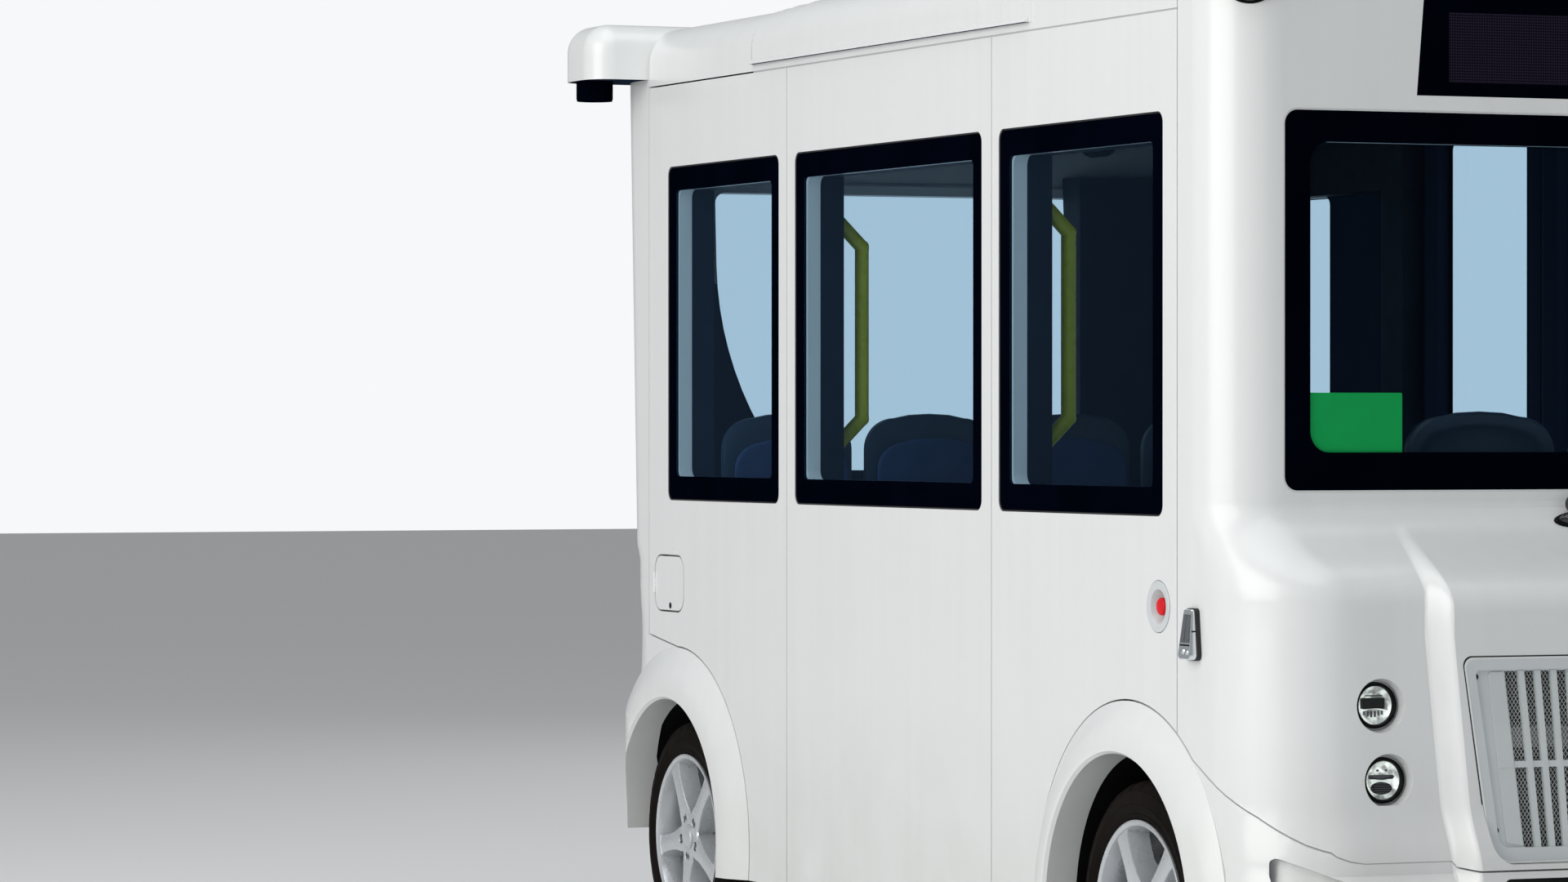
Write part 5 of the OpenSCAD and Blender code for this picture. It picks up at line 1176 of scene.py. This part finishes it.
back_line = back_outline(SEAT_W - 0.058, CUSHION_Z + 0.012, SEAT_TOP - 0.066, 0.08)
back_block = pad_from_outline(back_line, -0.0275, -0.0045, 0.012, lambda u, v, w: (w, u, v))
seat_line = rounded(-0.417, -SEAT_W / 2 + 0.022, -0.04, SEAT_W / 2 - 0.022, 0.05)
seat_block = pad_from_outline(seat_line, CUSHION_Z - 0.0585, CUSHION_Z - 0.013, 0.016,
                              lambda u, v, w: (u, v, w))
pads = {"back_pad": soft_pad("back_pad_1", back_block, 0.011, 0),
        "seat_cushion": soft_pad("seat_cushion_1", seat_block, 0.014, 2)}


def sew(obj, kind):
    """Pressed channels across the pad, after the remesh."""
    for v in obj.data.vertices:
        x, y, z = v.co
        if kind == "back_pad":
            if x < -0.018:
                groove = sum(math.exp(-((z - c) / 0.0035) ** 2) for c in (0.98, 1.11, 1.24))
                groove *= max(0.0, 1 - (abs(y) / 0.15) ** 8)
                v.co.x += 0.0035 * groove
        elif z > CUSHION_Z - 0.02:
            groove = sum(math.exp(-((x - c) / 0.0035) ** 2) for c in (-0.32, -0.21, -0.1))
            groove *= max(0.0, 1 - (abs(y) / 0.16) ** 8)
            v.co.z -= 0.0038 * groove


for kind, obj in pads.items():
    sew(obj, kind)
    obj.data.materials.append(FABRIC)
    for count, spot in enumerate(SEATS, 1):
        piece = obj if count == 1 else add_object("%s_%d" % (kind, count), obj.data)
        piece.matrix_world = spot
        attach(piece, ROOT)
        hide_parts("seat_pads")

# plinths under the seats, cut clear of the wheel houses
FLOOR_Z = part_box("floor_pan")[1][2]
for row_x, facing in ROWS:
    x0, x1 = (row_x - 0.4, row_x + 0.03) if facing == 1 else (row_x - 0.03, row_x + 0.4)
    top, y_end, y_mid, t = CUSHION_Z - 0.0905, HALF_W - 0.115, 0.545, 0.025
    plinth = Shape()
    plinth.box((x0, -y_mid, FLOOR_Z + 0.0005), (x0 + t, y_mid, top))
    plinth.box((x1 - t, -y_mid, FLOOR_Z + 0.0005), (x1, y_mid, top))
    plinth.box((x0 + t, -y_mid, top - t), (x1 - t, y_mid, top))
    for s in (-1, 1):
        plinth.box((x0, s * y_mid, 0.7), (x1, s * y_end, top))
        plinth.box((x0 + t, s * y_mid, FLOOR_Z + 0.0005), (x1 - t, s * (y_mid - t), top - t))
    # two flush service covers on the face towards the aisle
    face = x0 if facing == 1 else x1
    for c in (-0.27, 0.27):
        plinth.box((face - 0.0015, c - 0.21, FLOOR_Z + 0.06), (face + 0.0015, c + 0.21, top - 0.06))
    row = "front" if facing == 1 else "rear"
    plinth.make("seat_plinth_" + row, [PLINTH], ["seat_shells"], bevel=0.004)

# ---------------- wiper
WIPER_Y, WIPER_Z = -0.085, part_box("wiper_arm")[0][2] + 0.018
wiper = Shape()
pivot = turned((SCREEN_X, WIPER_Y, WIPER_Z), 90)
wiper.lathe(mm((18.5, 16), (18.5, 30), (16.5, 36), (12, 39.5), (0.1, 40)), pivot, 0, 32)
wiper.lathe(mm((18.5, 16), (8.7, 16)), pivot, 0, 32)
arm = []
for y, z, x, w, t in ((-0.006, 0, 0.0235, 0.016, 0.012), (0.03, 0.0005, 0.024, 0.0145, 0.0105),
                      (0.08, 0.001, 0.026, 0.0105, 0.006), (0.2, 0.0022, 0.0262, 0.008, 0.005),
                      (0.33, 0.0035, 0.0255, 0.006, 0.0045), (0.372, 0.0042, 0.0235, 0.0055, 0.0045)):
    arm.append([(SCREEN_X + x + dx * t / 2, WIPER_Y + y, WIPER_Z + z + dz * w) for dx, dz in
                ((-1, -0.8), (0.4, -1), (1, -0.5), (1, 0.5), (0.4, 1), (-1, 0.8))])
wiper.loft(arm, 0)
BLADE_MID, BLADE_HALF, BLADE_Z = WIPER_Y + 0.372, 0.3, WIPER_Z + 0.0045
SPINE = mm((0, -7), (5, -6), (9.5, -1), (9.5, 1.8), (5, 5.5), (0, 6))
EDGE = mm((1.2, -0.6), (1.2, 0.6), (8, 2.2), (13.5, 2.6), (13.5, -2.6), (8, -2.2))
rubber, spine = [], []
for i in range(21):
    t = -1 + 2 * i / 20
    y = BLADE_MID + BLADE_HALF * t
    x = SCREEN_X + 0.0125 + 0.003 * (1 - t * t)
    slim = 1 - 0.45 * abs(t) ** 3
    spine.append([(x + dx, y, BLADE_Z + dz * slim) for dx, dz in SPINE])
    rubber.append([(SCREEN_X + dx, y, BLADE_Z + dz) for dx, dz in EDGE])
wiper.loft(spine, 0)
wiper.loft(rubber, 1)
wiper.box((SCREEN_X + 0.015, BLADE_MID - 0.022, WIPER_Z - 0.0035),
          (SCREEN_X + 0.0275, BLADE_MID + 0.022, WIPER_Z + 0.012))
wiper.make("wiper_unit", [WIPER_BLACK, RUBBER], ["wiper_arm"], BODY_OF["wiper_arm"])

# ---------------- tail lamps
TAIL_Y = HALF_W - 0.21
tails = Shape()
for s in (-1, 1):
    for x, z, lens in ((-1.9322, 0.905, 1), (-1.982, 0.76, 2)):
        place = turned((x, s * TAIL_Y, z), -90)
        tails.lathe(mm((49.5, -36), (49.5, 0.5), (48.5, 2.5), (45.5, 3), (44, 1.5)), place)
        tails.lathe(mm((44, 1), (38, 4.8), (36.5, 3), (35, 5.2), (24, 7), (22.5, 5.2), (21, 7.4), (10, 8.4),
                        (0.1, 8.8)), place, lens)
tails.make("tail_lamp_units", [BEZEL, LAMP_RED, LAMP_AMBER], ["tail_lamps"])

# rubber between the two door leaves
y0, y1 = HALF_W - 0.04, HALF_W - 0.006
section = [(0.0, y0), (0.003, y0 + 0.004), (0.0042, (y0 + y1) / 2), (0.003, y1 - 0.004), (0.0, y1)]
for name, end, way in (("front", 0, -1), ("rear", 1, 1)):
    lo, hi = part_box("door_leaf_" + name)
    near = (lo, hi)[end][0]
    strip = Shape()
    strip.loft([[(near + way * u, y, z) for u, y in section] for z in (lo[2] + 0.004, hi[2] - 0.004)])
    strip.make("door_seal_" + name, [RUBBER], body=BODY_OF["door_leaf_" + name])

# ---------------- stage
FLOOR = 60.0      # half the floor's width


def make_stage():
    mesh = bpy.data.meshes.new("floor")
    corners = [(x * FLOOR, y * FLOOR, 0) for x, y in ((-1, -1), (1, -1), (1, 1), (-1, 1))]
    mesh.from_pydata(corners, [], [(0, 1, 2, 3)])
    floor = add_object("floor", mesh)
    mat, tree, bsdf = new_material("floor_pale")
    dress(tree, bsdf, Base_Color=(0.84, 0.84, 0.84), Roughness=0.9)
    mesh.materials.append(mat)

    world = bpy.data.worlds.new("studio")
    bpy.context.scene.world = world
    world.use_nodes = True
    tree = world.node_tree
    sky = tree.nodes["Background"]
    sky.inputs["Color"].default_value = (0.94, 0.965, 1.0, 1)
    sky.inputs["Strength"].default_value = 0.37
    backdrop = tree.nodes.new("ShaderNodeBackground")
    backdrop.inputs["Color"].default_value = (0.93, 0.94, 0.95, 1)
    seen = tree.nodes.new("ShaderNodeLightPath")
    choose = tree.nodes.new("ShaderNodeMixShader")
    tree.links.new(seen.outputs["Is Camera Ray"], choose.inputs[0])
    tree.links.new(sky.outputs[0], choose.inputs[1])
    tree.links.new(backdrop.outputs[0], choose.inputs[2])
    tree.links.new(choose.outputs[0], tree.nodes["World Output"].inputs["Surface"])

    def lamp(name, at, aim, size, power, colour=(1, 1, 1)):
        data = bpy.data.lights.new(name, "AREA")
        data.energy = power
        data.size = size
        data.color = colour
        obj = add_object(name, data)
        obj.location = at
        obj.rotation_euler = (Vector(aim) - Vector(at)).to_track_quat("-Z", "Y").to_euler()

    lamp("key", (3.2, -10.0, 4.5), (0.0, 0.0, 1.2), 8.0, 610, (1.0, 0.99, 0.965))
    lamp("overhead", (1.5, -1.0, 9.0), (0.5, 0.0, 1.0), 8.0, 310, (0.97, 0.99, 1.0))
    lamp("back_fill", (-8.0, 7.0, 5.0), (0.0, 0.0, 1.0), 5.0, 130)


make_stage()

bpy.context.scene.view_settings.view_transform = "Standard"
